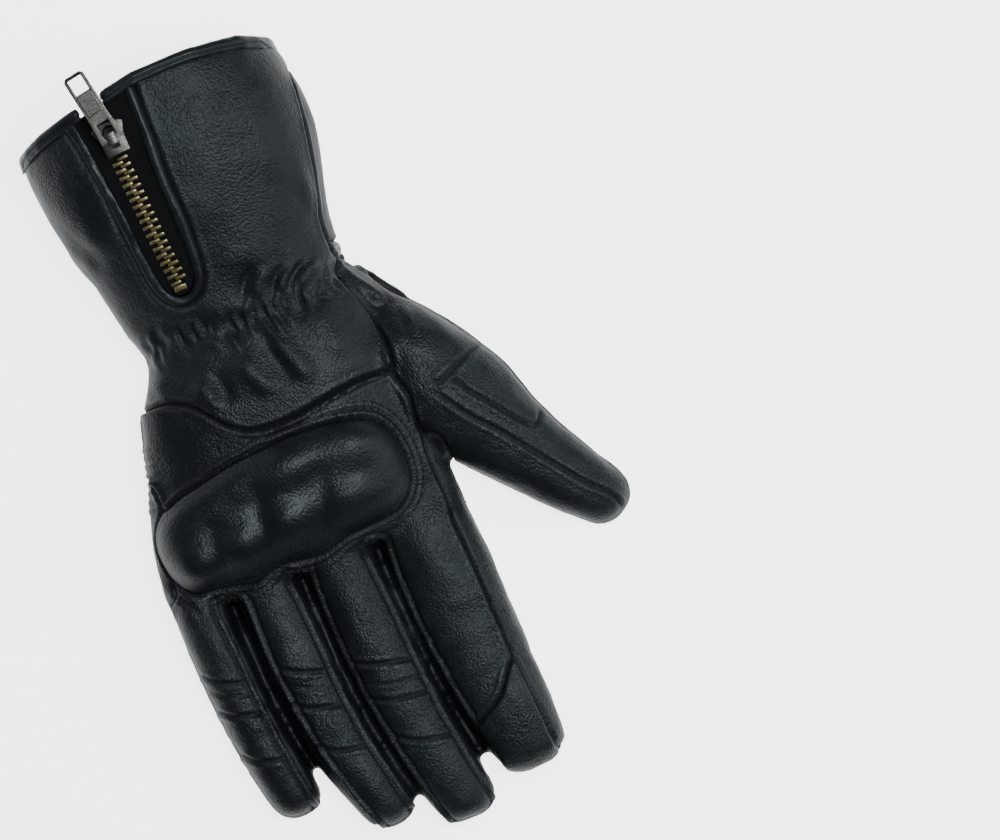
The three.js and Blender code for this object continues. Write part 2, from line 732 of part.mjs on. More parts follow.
// The strip of leather round the zip stands proud of the cuff, and the tape lies below it
const chainLift = seamGap * 2.4; // above the tape, whose face is made of flat facets
const zipStations = spread(wristY, hemEnd, 12);
const zipAngles = sectionAngles(30, 8);
const cuffLayer = (outer, inner) =>
  bodySolid(outer, zipAngles, zipStations)
    .subtract(bodySolid(inner, zipAngles, spread(wristY - 1, hemEnd + 1, 10)))
    .intersect(above)
    .subtract(boundEdge);
const welt = cuffLayer(weltProud, -leather)
  .intersect(prism(weltOutline))
  .subtract(prism(zipOutline(seamGap)));
place("zip_welt", geometryOf(welt), "leather");
const tape = cuffLayer(-tapeDrop, -tapeDrop - tapeThickness).intersect(prism(zipOutline(0)));
place("zip_tape", geometryOf(tape), "tape");

// A closed strip on the tape between two distances from the zip's middle, with a ring at each height
function stripOnTape(inner, outer, heights) {
  const rings = heights.map((y) => {
    const face = backHeight(zipMiddle(y), y) - tapeDrop + chainLift;
    const corners = [[inner, 0], [outer, 0], [outer, toothHeight], [inner, toothHeight]];
    return corners.map(([across, rise]) => new THREE.Vector3(zipMiddle(y) + across, y, face + rise));
  });
  return solidOf(loft(rings));
}

// One side of the chain: a bead with teeth that reach past the middle between those of the other side
const sliderY = wristY + cuffLength * 0.795;
const chainStart = wristY + cuffLength * (zipEnd + 0.05);
const chainEnd = sliderY - sliderLength / 2 - seamGap;
const toothCount = Math.floor((chainEnd - chainStart) / toothPitch);
function teeth(side) {
  const tooth = toothPitch / 2 - seamGap;
  const first = chainStart + (side > 0 ? toothPitch / 2 : 0);
  const bead = stripOnTape(
    side * toothReach * 0.6,
    side * toothReach,
    spread(first, first + (toothCount - 0.6) * toothPitch, Math.round(toothCount / 3)),
  );
  return spread(0, toothCount - 1, toothCount - 1).reduce((sum, index) => {
    const y = first + index * toothPitch;
    return sum.add(stripOnTape(-side * toothReach * 0.2, side * toothReach * 0.7, [y, y + tooth]));
  }, bead);
}
place("zip_teeth_left", geometryOf(teeth(-1)), "brass");
place("zip_teeth_right", geometryOf(teeth(1)), "brass");

const stopEnds = [chainStart - toothPitch * 1.1, chainStart - toothPitch * 0.4];
place("zip_bottom_stop", geometryOf(stripOnTape(-toothReach * 0.7, toothReach * 0.7, stopEnds)), "brass");

// The slider lies on the end of the chain, turned to follow the zip and the rise of the cuff
const zipLean = Math.atan2(zipMiddle(chainStart) - zipMiddle(sliderY), sliderY - chainStart) + 0.02;
const tapeFace = (y) => backHeight(zipMiddle(y), y) - tapeDrop;
const tapeClimb = tapeFace(sliderY + sliderLength / 2) - tapeFace(sliderY - sliderLength / 2);
const zipRise = Math.atan2(tapeClimb, sliderLength);
const carriage = new THREE.Group();
carriage.position.set(zipMiddle(sliderY), sliderY, tapeFace(sliderY) + seamGap * 2);
carriage.rotation.set(zipRise, 0, zipLean, "ZXY");
glove.add(carriage);

const halfWidth = sliderWidth / 2;
const halfLength = sliderLength / 2;
const plateShape = new THREE.Shape();
plateShape.moveTo(-halfWidth, -halfLength);
plateShape.lineTo(halfWidth, -halfLength);
plateShape.lineTo(halfWidth * 1.02, 0);
plateShape.lineTo(halfWidth * 1.4, halfLength * 0.7);
plateShape.quadraticCurveTo(halfWidth, halfLength, 0, halfLength * 0.9);
plateShape.quadraticCurveTo(-halfWidth, halfLength, -halfWidth * 1.4, halfLength * 0.7);
plateShape.lineTo(-halfWidth * 1.02, 0);
const plate = new THREE.ExtrudeGeometry(plateShape, {
  depth: sliderHeight,
  bevelEnabled: false,
  curveSegments: 3,
});

// The bridge is an arch along the zip, and the pull's bar turns under it
const barRadius = pullThickness / 2;
const barRoom = barRadius * 2;
const pivotLift = sliderHeight + barRoom;
const bridgeWall = 1.3;
const bridgeHalf = barRoom + bridgeWall * 1.4;
const bridgeTop = pivotLift + barRoom + bridgeWall;
const archShape = new THREE.Shape();
archShape.moveTo(-bridgeHalf, sliderHeight - 1);
archShape.lineTo(-bridgeHalf, bridgeTop - bridgeWall);
archShape.lineTo(-bridgeHalf + bridgeWall, bridgeTop);
archShape.lineTo(bridgeHalf - bridgeWall, bridgeTop);
archShape.lineTo(bridgeHalf, bridgeTop - bridgeWall);
archShape.lineTo(bridgeHalf, sliderHeight - 1);
archShape.lineTo(bridgeHalf - bridgeWall, sliderHeight - 1);
archShape.lineTo(bridgeHalf - bridgeWall, pivotLift + barRoom);
archShape.lineTo(-bridgeHalf + bridgeWall, pivotLift + barRoom);
archShape.lineTo(-bridgeHalf + bridgeWall, sliderHeight - 1);
const bridgeWidth = pullWidth * 0.42;
const arch = new THREE.ExtrudeGeometry(archShape, { depth: bridgeWidth, bevelEnabled: false });
arch.applyMatrix4(
  new THREE.Matrix4().makeBasis(
    new THREE.Vector3(0, 1, 0),
    new THREE.Vector3(0, 0, 1),
    new THREE.Vector3(1, 0, 0),
  ),
);
arch.translate(-bridgeWidth / 2, 0, 0);
place("zip_slider", geometryOf(solidOf(plate).add(solidOf(arch))), "nickel", carriage);

// The pull: a bar under the bridge, a ring round it, a plate and a window at the end
const pullLean = 0.13; // leans further to the little side than the zip
const pullHinge = new THREE.Group();
pullHinge.position.set(0, 0, pivotLift);
pullHinge.rotation.z = pullLean;
carriage.add(pullHinge);
const pullHalf = pullWidth / 2;
const rectangle = (half, low, high) => [
  new THREE.Vector2(-half, low),
  new THREE.Vector2(half, low),
  new THREE.Vector2(half, high),
  new THREE.Vector2(-half, high),
];
const corner = pullWidth * 0.14;
const pullShape = new THREE.Shape([
  new THREE.Vector2(-pullHalf * 1.16, -barRadius),
  new THREE.Vector2(pullHalf * 1.16, -barRadius),
  new THREE.Vector2(pullHalf, pullLength * 0.3),
  new THREE.Vector2(pullHalf, pullLength - barRadius - corner),
  new THREE.Vector2(pullHalf - corner, pullLength - barRadius),
  new THREE.Vector2(-pullHalf + corner, pullLength - barRadius),
  new THREE.Vector2(-pullHalf, pullLength - barRadius - corner),
  new THREE.Vector2(-pullHalf, pullLength * 0.3),
]);
pullShape.holes.push(
  new THREE.Path(rectangle(bridgeWidth / 2 + 0.7, barRadius, bridgeTop - pivotLift + bridgeHalf)),
  new THREE.Path(rectangle(pullHalf * 0.68, pullLength * 0.7, pullLength * 0.92)),
);
const pull = new THREE.ExtrudeGeometry(pullShape, { depth: pullThickness, bevelEnabled: false });
pull.translate(0, 0, -pullThickness / 2);
place("zip_pull", pull, "nickel", pullHinge);

// The moulded guard: rings that run in from its edge and rise over the knuckles
const guardEdge = table(["x", "along"], [
  [-0.465, 0.614], [-0.508, 0.722], [-0.487, 0.846], [-0.435, 0.938], [-0.368, 0.934],
  [-0.236, 0.972], [-0.150, 0.938], [-0.025, 0.968], [0.085, 0.930], [0.260, 0.920],
  [0.350, 0.836], [0.364, 0.682], [0.316, 0.560], [0.170, 0.508], [-0.090, 0.506], [-0.265, 0.542],
]).map((row) => handPoint(row.x, row.along));
const knuckles = table(["x", "along", "rise", "spread"], [
  [-0.40, 0.83, 0.40, 0.080],
  [-0.235, 0.82, 0.45, 0.075],
  [-0.065, 0.80, 0.50, 0.080],
  [0.150, 0.80, 0.50, 0.100],
  [0.000, 0.61, 0.25, 0.090],
  [0.235, 0.61, 0.25, 0.080],
]);
const guardRings = [0.02, 0.15, 0.35, 0.62, 0.94];
const guardPoints = 32; // corners along its edge
const guardRise = (share) => guardHeight * (0.25 + 0.75 * Math.min(share / 0.4, 1) ** 0.6);
function knuckleRise(point) {
  return knuckles.reduce((sum, row) => {
    const away = point.distanceTo(handPoint(row.x, row.along)) / (row.spread * palmWidth);
    return sum + guardHeight * row.rise * Math.exp(-away * away);
  }, 0);
}
function guardGeometry() {
  const curve = new THREE.CatmullRomCurve3(
    guardEdge.map((point) => new THREE.Vector3(point.x, point.y, 0)),
    true,
  );
  const edge = curve.getPoints(guardPoints).slice(0, -1);
  const spine = (point) =>
    new THREE.Vector2(clamp(point.x, -0.36 * palmWidth, 0.24 * palmWidth), handPoint(0, 0.73).y);
  const ring = (share, rise) =>
    edge.map((point) => {
      const plan = new THREE.Vector2(point.x, point.y).lerp(spine(point), share);
      const bump = share > 0.05 ? knuckleRise(plan) * Math.min(share / 0.3, 1) : 0;
      const height = rise > 0 ? rise + bump : 0;
      return new THREE.Vector3(plan.x, plan.y, backHeight(plan.x, plan.y) - leather * 0.4 + height);
    });
  const under = [0.94, 0].map((share) => ring(share, 0));
  const over = guardRings.map((share) => ring(share, guardRise(share)));
  return loft([...under, ...over]);
}
const guard = solidOf(guardGeometry()).subtract(gloveSolid(seamGap, true));
place("knuckle_guard", geometryOf(guard), "guard");

// The overlay on the tip of the index finger ends on a slanted seam
const index = fingers[3];
const tipLayer = fingerSolid(index, seamGap + tipWall, sectionAngles(9, 5), true).subtract(
  fingerSolid(index, seamGap, sectionAngles(9, 5), true),
);
const tipOutline = [
  handPoint(0.10, 1.86),
  handPoint(0.27, 1.80),
  handPoint(0.37, 1.73),
  handPoint(0.46, 1.59),
  handPoint(0.80, 1.40),
  handPoint(0.80, 2.40),
  handPoint(0.10, 2.40),
];
const backOfIndex = prism([
  ...fingerEdge(index, index.backLeft),
  ...fingerEdge(index, index.backRight).reverse(),
]);
const tip = tipLayer.intersect(prism(tipOutline)).intersect(backOfIndex).intersect(above);
place("index_tip", geometryOf(tip), "leather");

// The overlays under the palm, which the glove rests on
function pad(name, outline) {
  place(name, geometryOf(prism(outline, 0, padThickness)), "leather");
}
const padOutline = (rows) => table(["x", "along"], rows).map((row) => handPoint(row.x, row.along));
pad("heel_pad", padOutline([
  [-0.255, 0.03], [-0.12, 0.035], [0.05, 0.05], [0.16, 0.04], [0.20, 0.10], [0.22, 0.20],
  [0.225, 0.36], [0, 0.38], [-0.28, 0.36],
]));
pad("palm_patch", padOutline([
  [-0.175, 0.547], [-0.09, 0.552], [0, 0.563], [0.07, 0.589], [0.123, 0.65], [0.15, 0.712],
  [0.167, 0.776], [-0.175, 0.776],
]));
pad("palm_band", padOutline([
  [-0.40, 0.78], [0.35, 0.785], [0.38, 0.86], [0.38, 0.95], [0, 0.935], [-0.42, 0.94],
]));

export default glove;
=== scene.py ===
import math
import bmesh
import bpy
import numpy as np
from mathutils import Matrix, Vector
from mathutils.bvhtree import BVHTree
from mathutils.kdtree import KDTree


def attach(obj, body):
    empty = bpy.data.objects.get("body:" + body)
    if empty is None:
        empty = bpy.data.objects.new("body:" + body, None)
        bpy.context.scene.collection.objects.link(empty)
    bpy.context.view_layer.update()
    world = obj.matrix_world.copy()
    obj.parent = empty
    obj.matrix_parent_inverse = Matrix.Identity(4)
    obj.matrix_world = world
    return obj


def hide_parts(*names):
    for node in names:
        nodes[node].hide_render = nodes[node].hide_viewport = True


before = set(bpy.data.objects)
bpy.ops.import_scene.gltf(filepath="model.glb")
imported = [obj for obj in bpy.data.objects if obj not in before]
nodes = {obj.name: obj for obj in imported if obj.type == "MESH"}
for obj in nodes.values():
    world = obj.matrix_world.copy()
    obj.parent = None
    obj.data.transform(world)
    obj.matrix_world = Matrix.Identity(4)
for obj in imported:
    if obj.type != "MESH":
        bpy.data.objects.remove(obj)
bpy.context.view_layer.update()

# A right-hand gauntlet glove, palm down. The traced lines below are in millimetres, seen from above.
mm = 0.001
up = Vector((0, 0, 1))


# Camera and lights

view = {
    "lens": 180.0,
    "sensor": 36.0,
    "imageWidth": 1000,
    "imageHeight": 840,
    "millimetresPerPixel": 0.375,
    "leanDegrees": 21.5,           # the glove leans to the left in the picture
    "originPixel": (292.0, 470.0),  # where the glove's own origin shows
    "outlineHeight": 15.0,          # the height that has the scale above
}
lights = {
    "world": (0.88, 0.95, 1.0),
    "worldPower": 0.16,
    "aimHeight": 0.02,
    "overhead": {"place": (0.22, 0.10, 1.00), "size": 0.36, "power": 10.5},
    "right": {"place": (0.95, 0.15, 0.60), "size": 0.60, "power": 5.5},
    "left": {"place": (-0.75, 0.55, 0.45), "size": 0.50, "power": 2.0},
}


# A shift in the picture as a shift along the glove's own x and y.
def toGlove(right, upward):
    lean = math.radians(view["leanDegrees"])
    return (right * math.cos(lean) + upward * math.sin(lean),
            -right * math.sin(lean) + upward * math.cos(lean))


def makeCamera():
    scale = view["millimetresPerPixel"] * mm
    right = (view["imageWidth"] / 2 - view["originPixel"][0]) * scale
    upward = (view["originPixel"][1] - view["imageHeight"] / 2) * scale
    x, y = toGlove(right, upward)
    distance = view["imageWidth"] * scale * view["lens"] / view["sensor"]
    bpy.ops.object.camera_add(location=(x, y, view["outlineHeight"] * mm + distance))
    camera = bpy.context.object
    camera.name = "photoCamera"
    camera.rotation_euler = (0, 0, -math.radians(view["leanDegrees"]))
    camera.data.lens = view["lens"]
    camera.data.sensor_width = view["sensor"]
    camera.data.clip_end = 10
    bpy.context.scene.camera = camera


def makeLights():
    world = bpy.data.worlds.new("studio")
    world.use_nodes = True
    background = world.node_tree.nodes["Background"]
    background.inputs["Color"].default_value = (*lights["world"], 1)
    background.inputs["Strength"].default_value = lights["worldPower"]
    bpy.context.scene.world = world
    for name in ("overhead", "right", "left"):
        lamp = lights[name]
        right, upward, height = lamp["place"]
        bpy.ops.object.light_add(type="AREA", location=(*toGlove(right, upward), height))
        light = bpy.context.object
        light.name = name + "Light"
        light.data.size = lamp["size"]
        light.data.energy = lamp["power"]
        aim = Vector((0, 0, lights["aimHeight"])) - light.location
        light.rotation_euler = aim.to_track_quat("-Z", "Y").to_euler()
    print("lights and camera made")


makeCamera()
makeLights()


# Node helpers and shared groups

def addNode(tree, kind, **values):
    node = tree.nodes.new(kind)
    for key, value in values.items():
        setattr(node, key, value)
    return node


def newGroup(name, inputs, outputs):
    tree = bpy.data.node_groups.new(name, "ShaderNodeTree")
    for label, kind, value in inputs:
        socket = tree.interface.new_socket(name=label, in_out="INPUT", socket_type="NodeSocket" + kind)
        if value is not None:
            socket.default_value = value
    for label, kind in outputs:
        tree.interface.new_socket(name=label, in_out="OUTPUT", socket_type="NodeSocket" + kind)
    return tree, tree.nodes.new("NodeGroupInput"), tree.nodes.new("NodeGroupOutput")


# Links an output to the socket, or sets the socket to a plain value.
def feed(tree, socket, value):
    if hasattr(value, "is_output"):
        tree.links.new(value, socket)
    else:
        socket.default_value = value

def mathNode(tree, operation, first, second=None, clamp=False):
    node = addNode(tree, "ShaderNodeMath", operation=operation, use_clamp=clamp)
    feed(tree, node.inputs[0], first)
    if second is not None:
        feed(tree, node.inputs[1], second)
    return node.outputs[0]


def rangeNode(tree, value, low, high, toLow=0.0, toHigh=1.0):
    node = addNode(tree, "ShaderNodeMapRange", interpolation_type="SMOOTHSTEP")
    tree.links.new(value, node.inputs["Value"])
    node.inputs["From Min"].default_value = low
    node.inputs["From Max"].default_value = high
    node.inputs["To Min"].default_value = toLow
    node.inputs["To Max"].default_value = toHigh
    return node.outputs["Result"]


def mixColour(tree, factor, first, second):
    node = addNode(tree, "ShaderNodeMix", data_type="RGBA")
    feed(tree, node.inputs[0], factor)
    for socket, value in ((node.inputs[6], first), (node.inputs[7], second)):
        feed(tree, socket, (*value, 1) if isinstance(value, tuple) else value)
    return node.outputs[2]


def noiseNode(tree, vector, scale, detail=3.0):
    node = addNode(tree, "ShaderNodeTexNoise")
    node.inputs["Scale"].default_value = scale
    node.inputs["Detail"].default_value = detail
    tree.links.new(vector, node.inputs["Vector"])
    return node.outputs["Fac"]

def addBump(tree, shader, height, depth, strength=None):
    bump = addNode(tree, "ShaderNodeBump")
    bump.inputs["Distance"].default_value = depth * mm
    tree.links.new(height, bump.inputs["Height"])
    if strength is not None:
        tree.links.new(strength, bump.inputs["Strength"])
    tree.links.new(bump.outputs["Normal"], shader.inputs["Normal"])


# Pebbled leather grain: rounded cells a little under a millimetre across, and finer pores.
grainLook = {"warpScale": 420, "warp": 0.0009, "poreScale": 3600, "poreHeight": 0.22, "crease": (0.35, 0.75)}

def makeGrainGroup():
    tree, start, end = newGroup(
        "leatherGrain",
        [("Vector", "Vector", None), ("Cells Per Metre", "Float", 1150.0), ("Softness", "Float", 0.5)],
        [("Height", "Float"), ("Crease", "Float")])
    warp = addNode(tree, "ShaderNodeTexNoise")
    warp.inputs["Scale"].default_value = grainLook["warpScale"]
    tree.links.new(start.outputs["Vector"], warp.inputs["Vector"])
    bend = addNode(tree, "ShaderNodeVectorMath", operation="SCALE")
    bend.inputs["Scale"].default_value = grainLook["warp"]
    tree.links.new(warp.outputs["Color"], bend.inputs[0])
    place = addNode(tree, "ShaderNodeVectorMath", operation="ADD")
    tree.links.new(start.outputs["Vector"], place.inputs[0])
    tree.links.new(bend.outputs[0], place.inputs[1])
    cells = addNode(tree, "ShaderNodeTexVoronoi", feature="SMOOTH_F1")
    tree.links.new(place.outputs[0], cells.inputs["Vector"])
    tree.links.new(start.outputs["Cells Per Metre"], cells.inputs["Scale"])
    tree.links.new(start.outputs["Softness"], cells.inputs["Smoothness"])
    dome = mathNode(tree, "SUBTRACT", 1.0, cells.outputs["Distance"])
    pores = noiseNode(tree, start.outputs["Vector"], grainLook["poreScale"], 2.0)
    height = mathNode(tree, "ADD", dome, mathNode(tree, "MULTIPLY", pores, grainLook["poreHeight"]))
    tree.links.new(height, end.inputs["Height"])
    # The Crease mask marks the creases between the pebbles, where painted shade darkens the colour.
    tree.links.new(rangeNode(tree, cells.outputs["Distance"], *grainLook["crease"]), end.inputs["Crease"])
    return tree


# Colour of the black leather: slow blue-green drifts, painted shade in the seam grooves and in the creases of the
# grain, and ridges lightened by rubbed wear and a painted highlight.
toneLook = {
    "driftScale": 26, "drift": (0.38, 0.64), "driftRough": 0.06,
    "mottleScale": 240, "mottle": (0.35, 0.7, 0.82, 1.12),
    # the lighter colour on the rolled ridges: rubbed wear and a painted highlight
    "wornAndHighlight": (0.028, 0.031, 0.031), "wornAndHighlightShare": 0.22, "wornSmooth": 0.07,
    # painted shade in the creases between the grain's pebbles
    "poreShade": (0.004, 0.005, 0.006), "poreShadeShare": 0.35,
    # the near-black that darkens the seam and rib grooves: painted shade
    "seam": (0.002, 0.002, 0.003), "seamShare": 0.85, "seamRough": 0.25,
}

def makeToneGroup():
    tree, start, end = newGroup(
        "leatherTone",
        [("Vector", "Vector", None), ("Base", "Color", (0.02, 0.02, 0.02, 1)),
         ("Cool", "Color", (0.02, 0.03, 0.03, 1)), ("Seam", "Float", 0.0), ("Ridge", "Float", 0.0),
         ("Crease", "Float", 0.0)],
        [("Color", "Color"), ("Roughness Shift", "Float")])
    drift = rangeNode(tree, noiseNode(tree, start.outputs["Vector"], toneLook["driftScale"]), *toneLook["drift"])
    base = mixColour(tree, drift, start.outputs["Base"], start.outputs["Cool"])
    mottle = rangeNode(tree, noiseNode(tree, start.outputs["Vector"], toneLook["mottleScale"], 4.0),
                       *toneLook["mottle"])
    tinted = addNode(tree, "ShaderNodeVectorMath", operation="SCALE")
    tree.links.new(base, tinted.inputs[0])
    tree.links.new(mottle, tinted.inputs["Scale"])
    colour = tinted.outputs[0]
    for mask, tone in (("Ridge", "wornAndHighlight"), ("Crease", "poreShade"), ("Seam", "seam")):
        share = mathNode(tree, "MULTIPLY", start.outputs[mask], toneLook[tone + "Share"])
        colour = mixColour(tree, share, colour, toneLook[tone])
    tree.links.new(colour, end.inputs["Color"])
    rougher = mathNode(tree, "MULTIPLY", start.outputs["Seam"], toneLook["seamRough"])
    smoother = mathNode(tree, "MULTIPLY", start.outputs["Ridge"], toneLook["wornSmooth"])
    drifting = mathNode(tree, "MULTIPLY", drift, toneLook["driftRough"])
    shift = mathNode(tree, "ADD", mathNode(tree, "SUBTRACT", rougher, smoother), drifting)
    tree.links.new(shift, end.inputs["Roughness Shift"])
    return tree


grainGroup = makeGrainGroup()
toneGroup = makeToneGroup()


def newMaterial(name):
    material = bpy.data.materials.new(name)
    material.use_nodes = True
    tree = material.node_tree
    shader = tree.nodes["Principled BSDF"]
    place = addNode(tree, "ShaderNodeTexCoord").outputs["Object"]
    return material, tree, shader, place


def useGroup(tree, group, **links):
    node = addNode(tree, "ShaderNodeGroup", node_tree=group)
    for key, value in links.items():
        feed(tree, node.inputs[key.replace("_", " ")], value)
    return node


# Black leather whose painted shade in the seam grooves, and ridges lightened by rubbed wear and a painted highlight,
# come from the piece's own attributes.
sheen = {"patchScale": 55, "patch": (0.3, 0.7, 0.55, 1.0), "specular": 0.20, "tint": (0.82, 0.93, 1.0, 1)}

def leather(name, base, cool, roughness, grainDepth, cells):
    material, tree, shader, place = newMaterial(name)
    # the seam attribute marks the grooves, which get painted shade and a rougher finish
    seam = addNode(tree, "ShaderNodeAttribute", attribute_name="seam").outputs["Fac"]
    ridge = addNode(tree, "ShaderNodeAttribute", attribute_name="ridge").outputs["Fac"]
    grain = useGroup(tree, grainGroup, Vector=place, Cells_Per_Metre=cells)
    tone = useGroup(tree, toneGroup, Vector=place, Base=(*base, 1), Cool=(*cool, 1), Seam=seam, Ridge=ridge,
                    Crease=grain.outputs["Crease"])
    tree.links.new(tone.outputs["Color"], shader.inputs["Base Color"])
    rough = mathNode(tree, "ADD", tone.outputs["Roughness Shift"], roughness, clamp=True)
    tree.links.new(rough, shader.inputs["Roughness"])
    patch = rangeNode(tree, noiseNode(tree, place, sheen["patchScale"], 2.0), *sheen["patch"])
    addBump(tree, shader, grain.outputs["Height"], grainDepth, patch)
    shader.inputs["Specular IOR Level"].default_value = sheen["specular"]
    shader.inputs["Specular Tint"].default_value = sheen["tint"]
    return material


finishes = {
    "back": leather("backLeather", (0.0045, 0.0057, 0.0066), (0.0065, 0.0092, 0.0098), 0.40, 0.30, 1150.0),
    "palm": leather("palmLeather", (0.0050, 0.0062, 0.0080), (0.0070, 0.0095, 0.0120), 0.43, 0.15, 1250.0),
    # a darker leather for the strips in the valleys between the fingers: painted shade
    "side": leather("valleyShadeLeather", (0.0030, 0.0038, 0.0046), (0.0050, 0.0068, 0.0076), 0.46, 0.12, 1300.0),
    "guard": leather("guardLeather", (0.0050, 0.0062, 0.0070), (0.0072, 0.0100, 0.0104), 0.37, 0.20, 1000.0),
    "trim": leather("trimLeather", (0.0045, 0.0058, 0.0068), (0.0065, 0.0092, 0.0100), 0.34, 0.07, 1400.0),
}


# Dark tarnish that lies in patches over a metal, and fine scratches.
def makeTarnishGroup():
    tree, start, end = newGroup(
        "tarnish",
        [("Vector", "Vector", None), ("Metal", "Color", (0.6, 0.6, 0.6, 1)), ("Tarnish", "Color", (0.1, 0.1, 0.1, 1)),
         ("Amount", "Float", 0.5)],
        [("Color", "Color"), ("Roughness", "Float"), ("Height", "Float")])
    patches = rangeNode(tree, noiseNode(tree, start.outputs["Vector"], 1500), 0.30, 0.75)
    share = mathNode(tree, "MULTIPLY", patches, start.outputs["Amount"], clamp=True)
    tree.links.new(mixColour(tree, share, start.outputs["Metal"], start.outputs["Tarnish"]), end.inputs["Color"])
    tree.links.new(mathNode(tree, "ADD", mathNode(tree, "MULTIPLY", share, 0.15), 0.30, clamp=True),
                   end.inputs["Roughness"])
    tree.links.new(noiseNode(tree, start.outputs["Vector"], 2600, 3.0), end.inputs["Height"])
    return tree


tarnishGroup = makeTarnishGroup()


def metal(name, colour, tarnished, amount):
    material, tree, shader, place = newMaterial(name)
    group = useGroup(tree, tarnishGroup, Vector=place, Metal=(*colour, 1), Tarnish=(*tarnished, 1), Amount=amount)
    tree.links.new(group.outputs["Color"], shader.inputs["Base Color"])
    tree.links.new(group.outputs["Roughness"], shader.inputs["Roughness"])
    addBump(tree, shader, group.outputs["Height"], 0.02)
    shader.inputs["Metallic"].default_value = 1.0
    return material


# Plain woven cloth: threads of one colour that pass over and under, per metre, with a painted highlight where they
# lie highest.
def woven(name, colour, light, threads, depth, roughness):
    material, tree, shader, place = newMaterial(name)
    split = addNode(tree, "ShaderNodeSeparateXYZ")
    tree.links.new(place, split.inputs[0])
    waves = [mathNode(tree, "SINE", mathNode(tree, "MULTIPLY", split.outputs[axis], threads * 2 * math.pi))
             for axis in ("X", "Y")]
    weave = mathNode(tree, "MULTIPLY", waves[0], waves[1])
    shade = rangeNode(tree, weave, -1.0, 1.0)
    # the raised crossings get the lighter colour: a painted highlight
    tree.links.new(mixColour(tree, shade, colour, light), shader.inputs["Base Color"])
    addBump(tree, shader, weave, depth)
    shader.inputs["Roughness"].default_value = roughness
    shader.inputs["Specular IOR Level"].default_value = 0.15
    return material


finishes.update({
    "brass": metal("agedBrass", (0.36, 0.31, 0.15), (0.045, 0.038, 0.02), 0.85),
    "nickel": metal("oldNickel", (0.060, 0.060, 0.057), (0.020, 0.020, 0.019), 0.8),
    "darkNickel": metal("recessedNickel", (0.0036, 0.0037, 0.0035), (0.002, 0.002, 0.002), 0.8),
    "tape": woven("zipTapeCloth", (0.002, 0.002, 0.0025), (0.005, 0.0055, 0.0065), 1400, 0.14, 0.9),
    "thread": woven("blackThread", (0.004, 0.004, 0.005), (0.016, 0.017, 0.020), 2600, 0.05, 0.55),
    "lining": woven("darkLining", (0.006, 0.007, 0.008), (0.014, 0.015, 0.017), 900, 0.15, 0.9),
})


# Geometry helpers

def chooseOnly(piece):
    bpy.ops.object.select_all(action="DESELECT")
    piece.select_set(True)
    bpy.context.view_layer.objects.active = piece


def applyModifier(piece, kind, **values):
    modifier = piece.modifiers.new(kind, kind)
    for key, value in values.items():
        setattr(modifier, key, value)
    chooseOnly(piece)
    bpy.ops.object.modifier_apply(modifier=modifier.name)


def linked(name, mesh):
    piece = bpy.data.objects.new(name, mesh)
    bpy.context.scene.collection.objects.link(piece)
    return piece


# CAD nodes copied into one new object, their loose triangles merged and moved out by swell mm.
def copyOf(name, *nodeNames, swell=0.0):
    bm = bmesh.new()
    for node in nodeNames:
        bm.from_mesh(nodes[node].data)
    bmesh.ops.remove_doubles(bm, verts=bm.verts, dist=1e-6)
    bm.normal_update()
    for vert in bm.verts:
        vert.co += vert.normal * swell * mm
    mesh = bpy.data.meshes.new(name)
    bm.to_mesh(mesh)
    bm.free()
    return linked(name, mesh)


def remeshed(piece, voxel, smoothing):
    applyModifier(piece, "REMESH", mode="VOXEL", voxel_size=voxel * mm)
    applyModifier(piece, "SMOOTH", factor=0.5, iterations=smoothing)


# The vertices' places, in mm.
def points(piece):
    values = np.zeros(len(piece.data.vertices) * 3)
    piece.data.vertices.foreach_get("co", values)
    return values.reshape(-1, 3) / mm


def setPoints(piece, places):
    piece.data.vertices.foreach_set("co", (places * mm).ravel())
    piece.data.update()


def normals(piece):
    values = np.zeros(len(piece.data.vertices) * 3)
    piece.data.vertex_normals.foreach_get("vector", values)
    return values.reshape(-1, 3)


def treeOf(*pieces):
    places, faces = [], []
    for piece in pieces:
        first = len(places)
        places += [vert.co.copy() for vert in piece.data.vertices]
        faces += [[first + index for index in face.vertices] for face in piece.data.polygons]
    return BVHTree.FromPolygons(places, faces)


def setMask(piece, name, values):
    attribute = piece.data.attributes.new(name, "FLOAT", "POINT")
    attribute.data.foreach_set("value", np.clip(values, 0, 1).astype(np.float32))


def smoothStep(value, low, high):
    share = np.clip((value - low) / (high - low), 0, 1)
    return share * share * (3 - 2 * share)


def bell(value, width):
    return np.exp(-(value / width) ** 2)


# A traced line with a smooth curve through its points.
def curved(line, steps=4):
    line = np.array(line, float)
    padded = np.vstack([2 * line[0] - line[1], line, 2 * line[-1] - line[-2]])
    shares = np.linspace(0, 1, steps, endpoint=False)[:, None]
    parts = []
    for index in range(len(line) - 1):
        a, b, c, d = padded[index:index + 4]
        parts.append(0.5 * (2 * b + (c - a) * shares + (2 * a - 5 * b + 4 * c - d) * shares ** 2
                            + (3 * b - a - 3 * c + d) * shares ** 3))
    return np.vstack(parts + [line[-1:]])


# For each place: how far it is from the line, and how far along. Far ones keep reach.
def nearLine(places, line, reach):
    line = curved(line)
    distance = np.full(len(places), reach * 1.0)
    along = np.zeros(len(places))
    low, high = line.min(0) - reach, line.max(0) + reach
    near = np.flatnonzero(((places[:, :2] > low) & (places[:, :2] < high)).all(1))
    at = places[near, :2]
    best, bestAlong = distance[near], along[near]
    passed = 0.0
    for start, stop in zip(line[:-1], line[1:]):
        step = stop - start
        length = np.hypot(*step)
        offset = at - start
        share = np.clip(offset @ step / length ** 2, 0, 1)
        gap = np.hypot(*(offset - share[:, None] * step).T)
        closer = gap < best
        best = np.where(closer, gap, best)
        bestAlong = np.where(closer, passed + share * length, bestAlong)
        passed += length
    distance[near], along[near] = best, bestAlong
    return distance, along, passed


